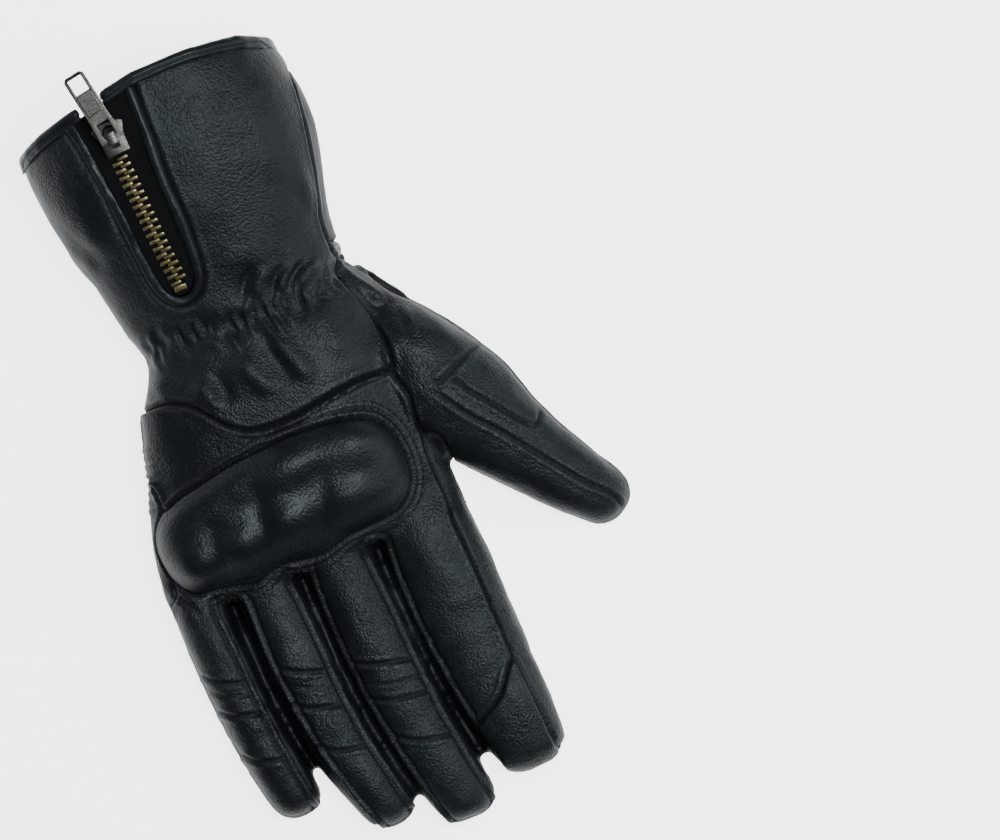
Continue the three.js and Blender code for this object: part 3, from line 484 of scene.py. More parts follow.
# Smooth random values from -1 to 1 that change over about size mm.
def cloud(places, size, seed):
    cells = 64
    random = np.random.default_rng(seed).uniform(-1, 1, (cells, cells, cells))
    at = places / size + 1000.0
    base = np.floor(at).astype(int)
    share = at - base
    share = share * share * (3 - 2 * share)
    total = np.zeros(len(places))
    for dx in (0, 1):
        for dy in (0, 1):
            for dz in (0, 1):
                weight = (abs(1 - dx - share[:, 0]) * abs(1 - dy - share[:, 1]) * abs(1 - dz - share[:, 2]))
                corner = (base + (dx, dy, dz)) % cells
                total += weight * random[corner[:, 0], corner[:, 1], corner[:, 2]]
    return total


# Traced lines of the back, seen from above: grooves, folds and ribs

backLines = {
    "guardRow": {"line": [(-34, 9.5), (-15, 11.5), (0, 14.3), (20, 13.8), (34, 11.5), (41, 5), (44, -5), (43.5, -17),
                          (39, -26), (30, -31), (12, -32.5), (0, -36), (-10, -35.5), (-18, -33.3), (-27, -37),
                          (-38, -34.5), (-46, -33.5)], "groove": 0.35, "wide": 0.7, "ridge": 0.45},
    "backRow": {"line": [(-26, 33), (-18, 23.5), (-8, 15.8), (8, 14.8), (22, 17.5), (38, 19.5), (49, 19.5)],
                "groove": 0.3, "wide": 0.6, "ridge": 0.25},
    "thumbSeam": {"line": [(66, 9), (70, 8), (72, 4), (77, -2), (84, -11), (90, -18)],
                  "groove": 0.8, "wide": 0.8, "ridge": 0.5},
    "thumbMiddle": {"line": [(61, 7), (70, -6), (78, -15), (91, -32), (100, -43.5), (108, -52), (110.5, -59)],
                    "groove": 0.9, "wide": 0.8, "ridge": 0.5},
    "thumbNotch": {"line": [(89, -18), (93, -16.5), (95.5, -12)], "groove": 0.9, "wide": 0.8, "ridge": 0.2},
    "thumbCrease": {"line": [(60.5, 12), (64, 10.5), (74, 15), (84, 18.5)], "groove": 0.6, "wide": 1.0, "ridge": 0.4},
    "thumbRoot": {"line": [(60, 43), (59.5, 35), (60.5, 28)], "groove": 0.3, "wide": 1.2, "ridge": 0.2},
    "wristSeam": {"line": [(32.9, 55.5), (38.3, 53.3), (44.3, 51.0)], "groove": 0.4, "wide": 0.7, "ridge": 0.2},
    "littleRow": {"line": [(-58, -24), (-54, -33), (-50, -39)], "groove": 0.4, "wide": 1.0, "ridge": 0.3},
}
ribs = {
    "little": [[(-60.5, -59), (-53, -64.5), (-45, -67.5)], [(-59.5, -66), (-52, -70.5), (-44, -72.5)],
               [(-59.5, -74), (-53, -78), (-43, -80.5)], [(-57.5, -92), (-51, -97), (-41, -99.5)]],
    "ring": [[(-32, -67), (-24, -71.5), (-15.5, -74.5)], [(-31, -74), (-22, -79), (-14.5, -81.5)],
             [(-33, -80.5), (-26, -85.5), (-14, -88.5)], [(-30, -99), (-22, -104), (-11, -106)]],
    "middle": [[(-6, -75), (3, -79), (16.5, -82)], [(-5, -84), (5, -87.5), (18, -89.5)],
               [(-5, -90), (5, -94), (19, -95.5)], [(-2, -106), (8, -111.5), (21, -114)]],
}
ribStyle = {"groove": 0.75, "wide": 0.75, "ridge": 0.5, "faint": 0.45}
folds = [
    {"line": [(-1, 49), (0, 39), (7, 27)], "height": 1.9, "wide": 4.2},
    {"line": [(10.5, 52), (16, 39), (21, 25)], "height": 2.0, "wide": 4.0},
    {"line": [(24.5, 52), (32, 44), (34, 30)], "height": 1.3, "wide": 5.0},
    {"line": [(-19.5, 46), (-18, 36), (-14.5, 28)], "height": 1.6, "wide": 3.4},
    {"line": [(9.5, 53), (10.5, 41), (14.5, 27)], "height": -1.5, "wide": 3.0},
    {"line": [(-13, 46.5), (-11.5, 37.5), (-10.5, 29)], "height": -1.2, "wide": 3.2},
    {"line": [(-33, 52), (-33, 44), (-29, 38)], "height": 1.1, "wide": 3.0},
    {"line": [(7, 62), (8.5, 68), (13, 73), (18, 75)], "height": -1.6, "wide": 2.0},
    {"line": [(17.5, 59), (20.5, 67), (28, 72)], "height": -1.6, "wide": 1.7},
    {"line": [(23.5, 60), (27.5, 66.5), (35.5, 71)], "height": -1.5, "wide": 1.5},
    {"line": [(12.5, 62), (15, 69), (21.5, 73.5)], "height": 1.4, "wide": 2.2},
    {"line": [(21, 60.5), (23.8, 67), (31.5, 71.5)], "height": 1.3, "wide": 1.6},
    {"line": [(27.8, 60), (32.5, 66), (39.5, 70)], "height": 1.6, "wide": 1.8},
    {"line": [(-26, 68), (-23.5, 62), (-21, 56.5)], "height": 1.0, "wide": 2.2},
    {"line": [(-27, 74), (-18, 70), (-11, 64)], "height": 0.9, "wide": 4.0},
    {"line": [(2, 84), (13, 80), (27, 77)], "height": 0.7, "wide": 5.0},
    {"line": [(-1, 112), (5, 103), (11, 94)], "height": 0.6, "wide": 6.0},
    {"line": [(44, 107), (44.5, 95), (43, 83)], "height": 0.9, "wide": 3.0},
    {"line": [(34, 132), (38, 116), (36, 98)], "height": 0.7, "wide": 7.0},
    {"line": [(-40, 124), (-37, 112), (-34, 98)], "height": 0.8, "wide": 4.0},
    {"line": [(-46, 112), (-41, 104), (-36, 92)], "height": -0.7, "wide": 3.5},
    {"line": [(33, -36), (38, -50), (40, -66)], "height": 0.8, "wide": 6.0},
    {"line": [(-52, -44), (-50, -52), (-51, -58)], "height": 0.5, "wide": 3.0},
    {"line": [(-30, -44), (-25, -52), (-25, -62)], "height": 0.5, "wide": 4.0},
    {"line": [(-2, -44), (4, -54), (5, -66)], "height": 0.5, "wide": 5.0},
    {"line": [(66, 36), (74, 24), (80, 10)], "height": 0.6, "wide": 4.0},
    {"line": [(52, 52), (58, 40), (60, 26)], "height": -0.5, "wide": 3.5},
]
elasticLine = [(-35.5, 58.5), (-31, 60.5), (-19, 59.3), (-8.6, 59.0), (0.3, 57.5), (10, 57.5), (19, 56.5),
               (30, 56.5), (38, 60), (43.5, 63)]
gathers = {"count": 38, "length": (7.0, 17.0), "width": (0.95, 1.7), "height": (0.6, 1.3), "seed": 7, "lean": -0.30,
           "pinch": 1.5, "pinchWidth": 4.2, "wander": 0.4, "leanSpread": 0.25, "shift": (-0.35, 0.25),
           "slant": 0.6, "sway": 0.5, "aside": 1.6, "troughDepth": 0.8, "troughWidth": 0.7}
littleRibs = {"first": 5.0, "last": 27.0, "count": 8, "left": -52.5, "right": -45.0, "height": 0.55, "wide": 1.0}
bumps = [(-46, -21, 8, 1.3), (-27, -20, 8.5, 1.6), (-7, -17, 9, 1.6), (18, -15, 12, 1.5),
         (-1, 2, 8, 1.1), (27, 3, 9, 1.4)]
guardFolds = [
    {"line": [(-38, -34), (-36, -20), (-33, -4)], "height": -1.0, "wide": 4.2},
    {"line": [(-17, -32), (-17, -18), (-13, 4)], "height": -1.1, "wide": 4.2},
    {"line": [(4, -33), (6, -20), (12, 2)], "height": -0.9, "wide": 4.6},
    {"line": [(-34, -3), (-10, -7), (12, -6), (30, -8)], "height": -0.7, "wide": 4.5},
]

# Traced lines of the palm side, seen from above as well

palmLines = {
    "thumbBase": {"line": [(29, 53), (28, 42), (25, 27), (25, 14), (28, 5), (35, -2), (42, -6), (49, -8)],
                  "groove": 0.8, "wide": 0.8, "ridge": 0.5},
    "bandTop": {"line": [(-48, -12), (-10, -15), (10, -16.5), (25, -17), (40, -16), (47, -11)],
                "groove": 0.5, "wide": 0.7, "ridge": 0.3},
    "bandSeam": {"line": [(-56, -32), (-30, -32), (-10, -31.5), (5, -30.5), (20, -31.5), (40, -34), (56, -37)],
                 "groove": 0.8, "wide": 0.8, "ridge": 0.4},
    "shortSeam": {"line": [(20, 76), (22, 68), (26, 60), (30, 52)], "groove": 0.6, "wide": 0.8, "ridge": 0.3},
    "ringTip": {"line": [(-17, -113), (-12, -123), (-5, -125), (-1, -123)], "groove": 0.6, "wide": 0.7, "ridge": 0.4},
    "middleTip": {"line": [(5, -128), (8, -137), (15, -140), (22, -138), (27, -130)],
                  "groove": 0.6, "wide": 0.7, "ridge": 0.4},
    "indexTip": {"line": [(33, -121), (36, -127), (47, -130), (56, -125)], "groove": 0.6, "wide": 0.7, "ridge": 0.4},
    "littleTip": {"line": [(-52, -104), (-47, -111), (-41, -110), (-37, -105)],
                  "groove": 0.6, "wide": 0.7, "ridge": 0.4},
    "thumbFront": {"line": [(33, 50), (48, 31), (58, 19), (66, 7), (77, -13), (85, -33), (98, -50), (110, -54)],
                   "groove": 0.7, "wide": 0.8, "ridge": 0.5},
}
quiltRows = {"heights": (51, 46, 41, 36, 29.5, 24.5), "left": -31, "right": 24, "groove": 0.7, "wide": 1.0}
palmFolds = [
    {"line": [(35, 30), (42, 20), (46, 8)], "height": 1.0, "wide": 2.2},
    {"line": [(40, 38), (50, 26), (56, 12)], "height": 0.9, "wide": 2.4},
    {"line": [(30, 12), (38, 6), (48, 2)], "height": 0.7, "wide": 2.0},
    {"line": [(-40, 62), (-20, 66), (0, 64)], "height": 0.9, "wide": 2.0},
    {"line": [(4, 66), (20, 62), (36, 64)], "height": 0.9, "wide": 2.0},
    {"line": [(-30, 100), (-10, 108), (20, 104)], "height": 0.8, "wide": 6.0},
    {"line": [(-36, 88), (-20, 84), (0, 88)], "height": 0.9, "wide": 3.0},
    {"line": [(10, 86), (28, 82), (44, 86)], "height": 0.9, "wide": 3.0},
]


# Leather skin: all leather nodes as one surface, parted again along the panels

skin = {
    "firstVoxel": 1.0,     # coarser while the holes are looked for
    "voxel": 0.8,
    "smoothing": 22,
    "largestHole": 420,    # rim points
    "hemRise": 2.2,        # the leather runs on under the bound edge
    "swell": 1.0,          # the nodes are swollen before they are joined, and the whole is drawn in again
    "drawnIn": 0.6,
    "borderRounds": 60,
    "evenRounds": 14,
    "tipRounds": 40,
    "guardRounds": 60,
    "ease": 0.5,           # how far a place moves to the middle of its neighbours in a round
    "evenOut": (0.55, -0.50),
    "plugDepth": 1.6,
    "hemFrom": (128, 146),
    "lowest": 0.05,
    "wall": 1.4,
    "seamDepth": 0.95,
    "seamWidth": 0.8,
    "lipAway": 1.7,        # from the seam to the crest of the rolled edge
    "lipWidth": 0.95,
    "mouth": 128.0,        # along the cuff, past which the inside is told by the way it faces
    "cuffHeart": (0.0, 27.0),
    "cuffFlat": 0.35,      # the cuff is flatter than it is wide
    "lookFrom": 0.3,
}
webs = [                   # leather that closes the valleys between the fingers and the corners of the seams
    {"line": [(-39, -41, 9), (-38.5, -60, 8.5), (-36.5, -85, 7), (-29, -110, 6)], "radius": 3.2},
    {"line": [(-12, -43, 9), (-11.5, -70, 8.5), (-8, -95, 7.5), (-1, -127, 6)], "radius": 3.0},
    {"line": [(19, -41, 9), (19.5, -60, 8.5), (23, -90, 7.5), (27.5, -124, 6)], "radius": 3.0},
    {"line": [(44.4, 78, 16), (44.3, 71, 16), (44.8, 65, 17), (47.5, 60, 18), (51.5, 54, 19), (56, 47.5, 20)],
     "radius": 3.9},
    {"line": [(43.6, 74, 21.5), (44.0, 66, 22), (46.5, 59, 22.5), (50.5, 53, 23), (54, 48, 23)], "radius": 3.5},
    {"line": [(50, 60, 13), (55, 53, 12.5), (61, 45, 12)], "radius": 4.0},
    {"line": [(44.0, 65.3, 15.5), (44.2, 65.3, 21), (43.0, 65.3, 26)], "radius": 2.8},
    {"line": [(44.0, 69.3, 15.5), (44.2, 69.3, 21), (43.0, 69.3, 26)], "radius": 2.8},
    {"line": [(-49.9, 14, 24.2), (-50.2, 4, 24.6)], "radius": 2.3},
    {"line": [(-47.3, 14, 25.9), (-47.6, 4, 26.6)], "radius": 2.3},
    {"line": [(46.4, 21.5, 29.3), (46.4, 14.5, 28.9)], "radius": 1.8},
    {"line": [(49.4, 21.0, 29.4), (49.4, 14.0, 28.9)], "radius": 1.8},
    {"line": [(47, 57, 12), (51, 50, 12), (56, 44, 12)], "radius": 4.0},
    {"line": [(-3.5, 151.0, 58.6), (0.5, 151.5, 58.8)], "radius": 1.6},
]
hand = ["little", "ring", "middle", "index"]
panels = {
    "handBack": {"nodes": ["hand_back"] + [name + "_back" for name in hand], "finish": "back", "lip": 0.75},
    "cuffBack": {"nodes": ["cuff_back"], "finish": "back", "lip": 0.40},
    "cuffPalm": {"nodes": ["cuff_palm"], "finish": "palm", "lip": 0.30},
    "palmPanel": {"nodes": ["palm_panel"] + [name + "_front" for name in hand], "finish": "palm", "lip": 0.45},
    "thumbBack": {"nodes": ["thumb_back"], "finish": "back", "lip": 0.35},
    "thumbPalm": {"nodes": ["thumb_palm"], "finish": "palm", "lip": 0.35},
    "littleSide": {"nodes": ["little_side"], "finish": "back", "lip": 0.20},
    "indexSide": {"nodes": ["index_side"], "finish": "back", "lip": 0.20},
    # the strips between the fingers take the darker side finish, painted shade for the valleys
    "littleRingStrip": {"nodes": ["fourchette_little_ring"], "finish": "side", "lip": 0.0},
    "ringMiddleStrip": {"nodes": ["fourchette_ring_middle"], "finish": "side", "lip": 0.0},
    "middleIndexStrip": {"nodes": ["fourchette_middle_index"], "finish": "side", "lip": 0.0},
    "wristWelt": {"nodes": ["wrist_welt"], "finish": "trim", "lip": 0.50},
    "zipWelt": {"nodes": ["zip_welt"], "finish": "trim", "lip": 0.30},
    "knuckleGuard": {"nodes": ["knuckle_guard"], "finish": "guard", "lip": 0.25, "slot": "guard_leather"},
    "indexTip": {"nodes": ["index_tip"], "finish": "back", "lip": 0.35},
    "heelPad": {"nodes": ["heel_pad"], "finish": "palm", "lip": 0.45},
    "palmPatch": {"nodes": ["palm_patch"], "finish": "palm", "lip": 0.45},
    "palmBand": {"nodes": ["palm_band"], "finish": "palm", "lip": 0.45},
}
panelNames = list(panels)
wayOut = [Vector(way).normalized() for way in ((0, 0, 1), (0, 0, -1), (1, 0, 0), (-1, 0, 0), (1, 0, 1), (-1, 0, 1),
                                               (1, 0, -1), (-1, 0, -1), (0.6, -1, 0), (-0.6, -1, 0), (0.4, 1, 0.6))]


def isOuter(tree, place, normal):
    if place.y > skin["mouth"] * mm:
        x, z = skin["cuffHeart"]
        return (place.x - x * mm) * normal.x * skin["cuffFlat"] + (place.z - z * mm) * normal.z > 0
    start = place + normal * skin["lookFrom"] * mm
    return any(way.dot(normal) > -0.3 and tree.ray_cast(start, way)[0] is None for way in wayOut)


# Which of the faces belong to the largest connected part.
def largestPart(faces, count):
    label = np.arange(count)
    ends = np.concatenate([faces.ravel(), faces.ravel()]), np.concatenate([np.roll(faces, -1, 1).ravel()] * 2)
    while True:
        low = np.minimum(label[ends[0]], label[ends[1]])
        new = label.copy()
        np.minimum.at(new, ends[0], low)
        np.minimum.at(new, ends[1], low)
        new = new[new]
        if (new == label).all():
            break
        label = new
    values, sizes = np.unique(label[faces[:, 0]], return_counts=True)
    return label[faces[:, 0]] == values[np.argmax(sizes)]


# The leather nodes and the webs, swollen and remeshed as one closed solid.
def joinedLeather(plugs, voxel):
    leatherNodes = [node for panel in panels.values() for node in panel["nodes"]]
    whole = copyOf("wholeSkin", *leatherNodes, swell=skin["swell"])
    applyModifier(whole, "SUBSURF", levels=1, render_levels=1)
    bm = bmesh.new()
    bm.from_mesh(whole.data)
    for web in webs:
        line = np.array(web["line"], float)
        for start, stop in zip(line[:-1], line[1:]):
            steps = int(np.linalg.norm(stop - start) / web["radius"] * 2) + 1
            for share in np.linspace(0, 1, steps):
                middle = Matrix.Translation(Vector((start + (stop - start) * share) * mm))
                bmesh.ops.create_icosphere(bm, subdivisions=2, radius=web["radius"] * mm, matrix=middle)
    for plug in plugs:
        corners = [bm.verts.new(place * mm) for place in plug]
        made = bmesh.ops.convex_hull(bm, input=corners, use_existing_faces=False)
        bmesh.ops.delete(bm, geom=list({item for item in made["geom_interior"] if item in corners}), context="VERTS")
    bm.to_mesh(whole.data)
    bm.free()
    remeshed(whole, voxel, skin["smoothing"])
    setPoints(whole, points(whole) - normals(whole) * skin["drawnIn"])
    return whole


# The faces of the joined leather that see the open air.
def outsideFaces(whole):
    tape = copyOf("tapeStandIn", "zip_tape")
    tree = treeOf(whole, tape)
    bpy.data.objects.remove(tape)
    faces = np.array([face.vertices[:] for face in whole.data.polygons])
    outer = np.array([isOuter(tree, face.center, face.normal) for face in whole.data.polygons])
    faces = faces[outer]
    return faces[largestPart(faces, len(whole.data.vertices))]


# Small holes where the nodes do not quite meet: their rims, made thick enough to close them.
def holePlugs(whole, faces):
    edges, sides = edgeTable(faces)
    near = {}
    for first, second in edges[sides[:, 0] == sides[:, 1]].tolist():
        near.setdefault(first, []).append(second)
        near.setdefault(second, []).append(first)
    places, away = points(whole), normals(whole)
    plugs, seen = [], set()
    for start in near:
        loop, waiting = [], [start]
        while waiting:
            at = waiting.pop()
            if at not in seen:
                seen.add(at)
                loop.append(at)
                waiting += near[at]
        if 3 < len(loop) < skin["largestHole"]:
            plugs.append(np.vstack([places[loop] + away[loop] * skin["drawnIn"],
                                    places[loop] - away[loop] * skin["plugDepth"]]))
    return plugs


# The outside of all leather as places in mm and four-cornered faces.
def wholeSurface():
    whole = joinedLeather([], skin["firstVoxel"])
    plugs = holePlugs(whole, outsideFaces(whole))
    bpy.data.objects.remove(whole)
    whole = joinedLeather(plugs, skin["voxel"])
    faces = outsideFaces(whole)
    used, renamed = np.unique(faces, return_inverse=True)
    places = points(whole)[used]
    places[:, 1] += skin["hemRise"] * smoothStep(places[:, 1], *skin["hemFrom"])
    bpy.data.objects.remove(whole)
    print("skin:", len(plugs), "small holes closed,", len(faces), "faces outside")
    return places, renamed.reshape(-1, 4)


# For each face, the panel whose node lies nearest.
def nearestPanel(places, faces):
    corners, triangles, owner = [], [], []
    for number, panel in enumerate(panels.values()):
        for node in panel["nodes"]:
            mesh = nodes[node].data
            first = len(corners)
            corners += [vert.co.copy() for vert in mesh.vertices]
            triangles += [[first + index for index in face.vertices] for face in mesh.polygons]
            owner += [number] * len(mesh.polygons)
    tree = BVHTree.FromPolygons(corners, triangles)
    centres = places[faces].mean(axis=1) * mm
    return np.array([owner[tree.find_nearest(Vector(centre))[2]] for centre in centres])


# Each edge once, as its two ends and its two faces; a rim edge has the same face twice.
def edgeTable(faces):
    ends = np.stack([faces, np.roll(faces, -1, 1)], axis=2).reshape(-1, 2)
    owner = np.repeat(np.arange(len(faces)), 4)
    key = np.sort(ends, axis=1)
    order = np.lexsort((key[:, 1], key[:, 0]))
    key, owner = key[order], owner[order]
    start = np.flatnonzero(np.r_[True, (key[1:] != key[:-1]).any(1)])
    stop = np.r_[start[1:], len(key)] - 1
    return key[start], np.stack([owner[start], owner[stop]], axis=1)


# A face that two or more neighbours of one other panel surround joins them, so that borders run straight.
def tidyLabels(labels, sides, rounds=6):
    for _ in range(rounds):
        votes = np.zeros((len(labels), len(panelNames)))
        np.add.at(votes, (sides[:, 0], labels[sides[:, 1]]), 1)
        np.add.at(votes, (sides[:, 1], labels[sides[:, 0]]), 1)
        votes[np.arange(len(labels)), labels] += 0.5
        labels = votes.argmax(axis=1)
    return labels


# Moves each place towards the middle of its neighbours, by its own weight.
def relaxed(places, edges, weight, rounds):
    count = len(places)
    degree = np.maximum(np.bincount(edges.ravel(), minlength=count), 1)
    for _ in range(rounds):
        total = np.zeros_like(places)
        for axis in range(3):
            total[:, axis] = (np.bincount(edges[:, 0], places[edges[:, 1], axis], count)
                              + np.bincount(edges[:, 1], places[edges[:, 0], axis], count))
        places = places + (total / degree[:, None] - places) * weight[:, None]
    return places


def vertexNormals(places, faces):
    crossed = np.cross(places[faces[:, 2]] - places[faces[:, 0]], places[faces[:, 3]] - places[faces[:, 1]])
    total = np.zeros_like(places)
    for corner in range(4):
        for axis in range(3):
            total[:, axis] += np.bincount(faces[:, corner], crossed[:, axis], len(places))
    return total / np.maximum(np.linalg.norm(total, axis=1), 1e-9)[:, None]


def seamDistance(places, edges, border, reach=5.0):
    ends = places[edges[border]]
    marks = np.concatenate([ends[:, 0] + (ends[:, 1] - ends[:, 0]) * share for share in (0, 0.33, 0.67)])
    tree = KDTree(len(marks))
    for index, mark in enumerate(marks):
        tree.insert(mark, index)
    tree.balance()
    return np.array([min(tree.find(place)[2], reach) for place in places])


# Heights and masks gathered over the skin before it is moved.
class Relief:

    def __init__(self, places, normal):
        self.places = places
        self.height = np.zeros(len(places))
        # seam: where painted shade darkens the grooves; ridge: where rubbed wear and a painted highlight lighten the
        # crests
        self.seam = np.zeros(len(places))
        self.ridge = np.zeros(len(places))
        self.onBack = smoothStep(normal[:, 2], -0.25, 0.1)
        self.onPalm = smoothStep(-normal[:, 2], -0.1, 0.3)

    def addSeam(self, line, face, groove, wide, ridge, fade=3.0, only=1.0):
        distance, along, length = nearLine(self.places, line, 6.0)
        ends = smoothStep(along, 0, fade) * smoothStep(length - along, 0, fade)
        cut = bell(distance, wide) * face * ends * only
        crest = bell(distance - 2.1 * wide, wide) * face * ends * only
        self.height += ridge * crest - groove * cut
        self.seam = np.maximum(self.seam, cut * min(groove / 0.7, 1.0))
        self.ridge = np.maximum(self.ridge, crest * min(ridge / 0.6, 1.0))

    def addFold(self, line, face, height, wide, fade=0.35, only=1.0):
        distance, along, length = nearLine(self.places, line, wide * 3)
        ends = smoothStep(along, 0, length * fade) * smoothStep(length - along, 0, length * fade)
        self.height += height * bell(distance, wide) * ends * face * only


# The tips and a stretch of the index finger that are eased once more: x, y and reach.
softSpots = [(-46, -116, 11), (-9, -132, 12), (16, -142, 12), (47, -131, 12), (109, -55, 12), (43, -82, 15)]
# The rolled edges along the valleys between the fingers.
piping = {"height": 1.15, "away": 1.15, "wide": 1.0, "groove": 0.75, "grooveAway": 2.9, "grooveWide": 0.6}
# The slow unevenness of worn leather.
waves = [{"size": 17.0, "seed": 3, "height": 0.45}, {"size": 7.0, "seed": 5, "height": 0.20},
         {"size": 3.2, "seed": 9, "height": 0.07}]


# Short pleats that the wrist elastic draws up, each with its own length, width and lean.
def addGathers(relief):
    random = np.random.default_rng(gathers["seed"])
    line = curved(elasticLine, 8)
    steps = np.hypot(*np.diff(line, axis=0).T)
    far = np.r_[0, np.cumsum(steps)]
    distance, _, _ = nearLine(relief.places, elasticLine, 12.0)
    relief.height -= gathers["pinch"] * bell(distance, gathers["pinchWidth"]) * relief.onBack
    for share in np.linspace(0.01, 0.99, gathers["count"]):
        at = share * far[-1] + random.uniform(-gathers["wander"], gathers["wander"])
        x, y = np.interp(at, far, line[:, 0]), np.interp(at, far, line[:, 1])
        length = random.uniform(*gathers["length"])
        wide = random.uniform(*gathers["width"])
        height = random.uniform(*gathers["height"])
        lean = gathers["lean"] + random.uniform(-gathers["leanSpread"], gathers["leanSpread"])
        shift = random.uniform(*gathers["shift"]) * length
        top = (x - lean * (length / 2 + shift) * gathers["slant"], y + length / 2 + shift)
        foot = (x - lean * (length / 2 - shift) * gathers["slant"], y - length / 2 + shift)
        middle = (x + random.uniform(-gathers["sway"], gathers["sway"]), y + shift)
        relief.addFold([top, middle, foot], relief.onBack, height, wide, fade=0.5)
        trough = [(px + wide * gathers["aside"], py) for px, py in (top, middle, foot)]
        relief.addFold(trough, relief.onBack, -height * gathers["troughDepth"], wide * gathers["troughWidth"],
                       fade=0.5)


# Folds, seams, ribs, gathers and knuckles, moved along the surface's own direction.
def sculptSkin(places, faces, labels, edges, sides):
    border = labels[sides[:, 0]] != labels[sides[:, 1]]
    rim = sides[:, 0] == sides[:, 1]
    onBorder = np.zeros(len(places), bool)
    onBorder[edges[border].ravel()] = True
    places = relaxed(places, edges[border], onBorder * skin["ease"], skin["borderRounds"])
    free = ~onBorder
    free[edges[rim].ravel()] = False
    for _ in range(skin["evenRounds"]):
        for share in skin["evenOut"]:
            places = relaxed(places, edges, free * share, 1)
    nearTip = np.zeros(len(places))
    for x, y, reach in softSpots:
        away = np.hypot(places[:, 0] - x, places[:, 1] - y)
        nearTip = np.maximum(nearTip, 1 - smoothStep(away, reach * 0.6, reach))
    nearTip[edges[rim].ravel()] = 0
    places = relaxed(places, edges, nearTip * skin["ease"], skin["tipRounds"])
    guard = panelNames.index("knuckleGuard")
    onGuard = np.zeros(len(places), bool)
    onGuard[faces[labels == guard].ravel()] = True
    places = relaxed(places, edges, (onGuard & ~onBorder) * skin["ease"], skin["guardRounds"])

    normal = vertexNormals(places, faces)
    relief = Relief(places, normal)
    distance = seamDistance(places, edges, border)
    lip = np.zeros(len(places))
    for number, name in enumerate(panelNames):
        lip[faces[labels == number].ravel()] = panels[name]["lip"]
    cut = bell(distance, skin["seamWidth"])
    crest = bell(distance - skin["lipAway"], skin["lipWidth"])
    seamHeight = lip * crest - skin["seamDepth"] * cut
    handBack = panelNames.index("handBack")
    strips = [panelNames.index(name) for name in ("littleRingStrip", "ringMiddleStrip", "middleIndexStrip")]
    pairs = labels[sides]
    piped = ((pairs == handBack).any(1) & np.isin(pairs, strips).any(1))
    toPipe = seamDistance(places, edges, piped)
    onHand = np.zeros(len(places), bool)
    onHand[faces[labels == handBack].ravel()] = True
    isPiped = onHand & (toPipe < distance + 0.3)
    pipe = bell(toPipe - piping["away"], piping["wide"])
    pipeCut = bell(toPipe - piping["grooveAway"], piping["grooveWide"])
    pipeHeight = piping["height"] * pipe - piping["groove"] * pipeCut - 0.3 * bell(toPipe, 0.6)
    relief.height += np.where(isPiped, pipeHeight, seamHeight)
    # the groove mask, painted shade in the seams and beside the piping
    relief.seam = np.where(isPiped, pipeCut * 0.8, cut)
    # the crest mask, ridges lightened by rubbed wear and a painted highlight
    relief.ridge = np.where(isPiped, pipe, crest * np.minimum(lip / 0.6, 1))

    offGuard = np.where(onGuard, 0.0, 1.0)
    for row in backLines.values():
        relief.addSeam(row["line"], relief.onBack, row["groove"], row["wide"], row["ridge"], only=offGuard)
    for finger, rows in ribs.items():
        for index, line in enumerate(rows):
            depth = ribStyle["groove"] * (ribStyle["faint"] if index == 1 else 1.0)
            relief.addSeam(line, relief.onBack, depth, ribStyle["wide"], ribStyle["ridge"] * depth, fade=1.5)
    for fold in folds:
        relief.addFold(fold["line"], relief.onBack, fold["height"], fold["wide"], only=offGuard)
    addGathers(relief)
    for x, y, wide, height in bumps:
        away = np.hypot(places[:, 0] - x, places[:, 1] - y)
        relief.height += height * bell(away, wide) * onGuard * smoothStep(distance, 0, 4)
    for fold in guardFolds:
        relief.addFold(fold["line"], onGuard * smoothStep(distance, 0, 4), fold["height"], fold["wide"], fade=0.2)
    for y in np.linspace(littleRibs["first"], littleRibs["last"], littleRibs["count"]):
        line = [(littleRibs["left"] - 8, y), (littleRibs["left"], y), (littleRibs["right"], y - 0.5)]
        relief.addFold(line, 1.0, littleRibs["height"], littleRibs["wide"], fade=0.2, only=offGuard)

    for row in palmLines.values():
        relief.addSeam(row["line"], relief.onPalm, row["groove"], row["wide"], row["ridge"])
    for y in quiltRows["heights"]:
        line = [(quiltRows["left"], y), (0, y + 0.6), (quiltRows["right"], y)]
        relief.addSeam(line, relief.onPalm, quiltRows["groove"], quiltRows["wide"], 0.15)
    for fold in palmFolds:
        relief.addFold(fold["line"], relief.onPalm, fold["height"], fold["wide"])

    resting = smoothStep(places[:, 2], 0.5, 4.0)
    unrest = sum(cloud(places, wave["size"], wave["seed"]) * wave["height"] for wave in waves)
    calm = np.where(onGuard, 0.12, 1.0) * (0.35 + 0.65 * resting)
    relief.height += unrest * calm * smoothStep(distance, 0.0, 3.0)
    height = np.repeat(relief.height[:, None], 3, axis=1)
    height = relaxed(height, edges, np.full(len(places), 0.4), 1)
    moved = places + normal * height
    moved[:, 2] = np.maximum(moved[:, 2], skin["lowest"])
    return moved, relief


# One panel as a leather wall: its outside from the sculpted skin, thickened inwards.
def panelPiece(name, places, faces, masks):
    used, renamed = np.unique(faces, return_inverse=True)
    mesh = bpy.data.meshes.new(name)
    mesh.from_pydata(places[used] * mm, [], renamed.reshape(-1, 4).tolist())
    piece = linked(name, mesh)
    for mask, values in masks.items():
        setMask(piece, mask, values[used])
    panel = panels[name]
    piece.data.materials.append(finishes[panel["finish"]])
    piece.data.materials.append(finishes["lining"])
    applyModifier(piece, "SOLIDIFY", thickness=skin["wall"] * mm, offset=-1.0, material_offset=1,
                  material_offset_rim=0)
    chooseOnly(piece)
    bpy.ops.object.shade_smooth_by_angle(angle=math.radians(65))
    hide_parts(*panel["nodes"])
    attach(piece, "glove")
    return piece


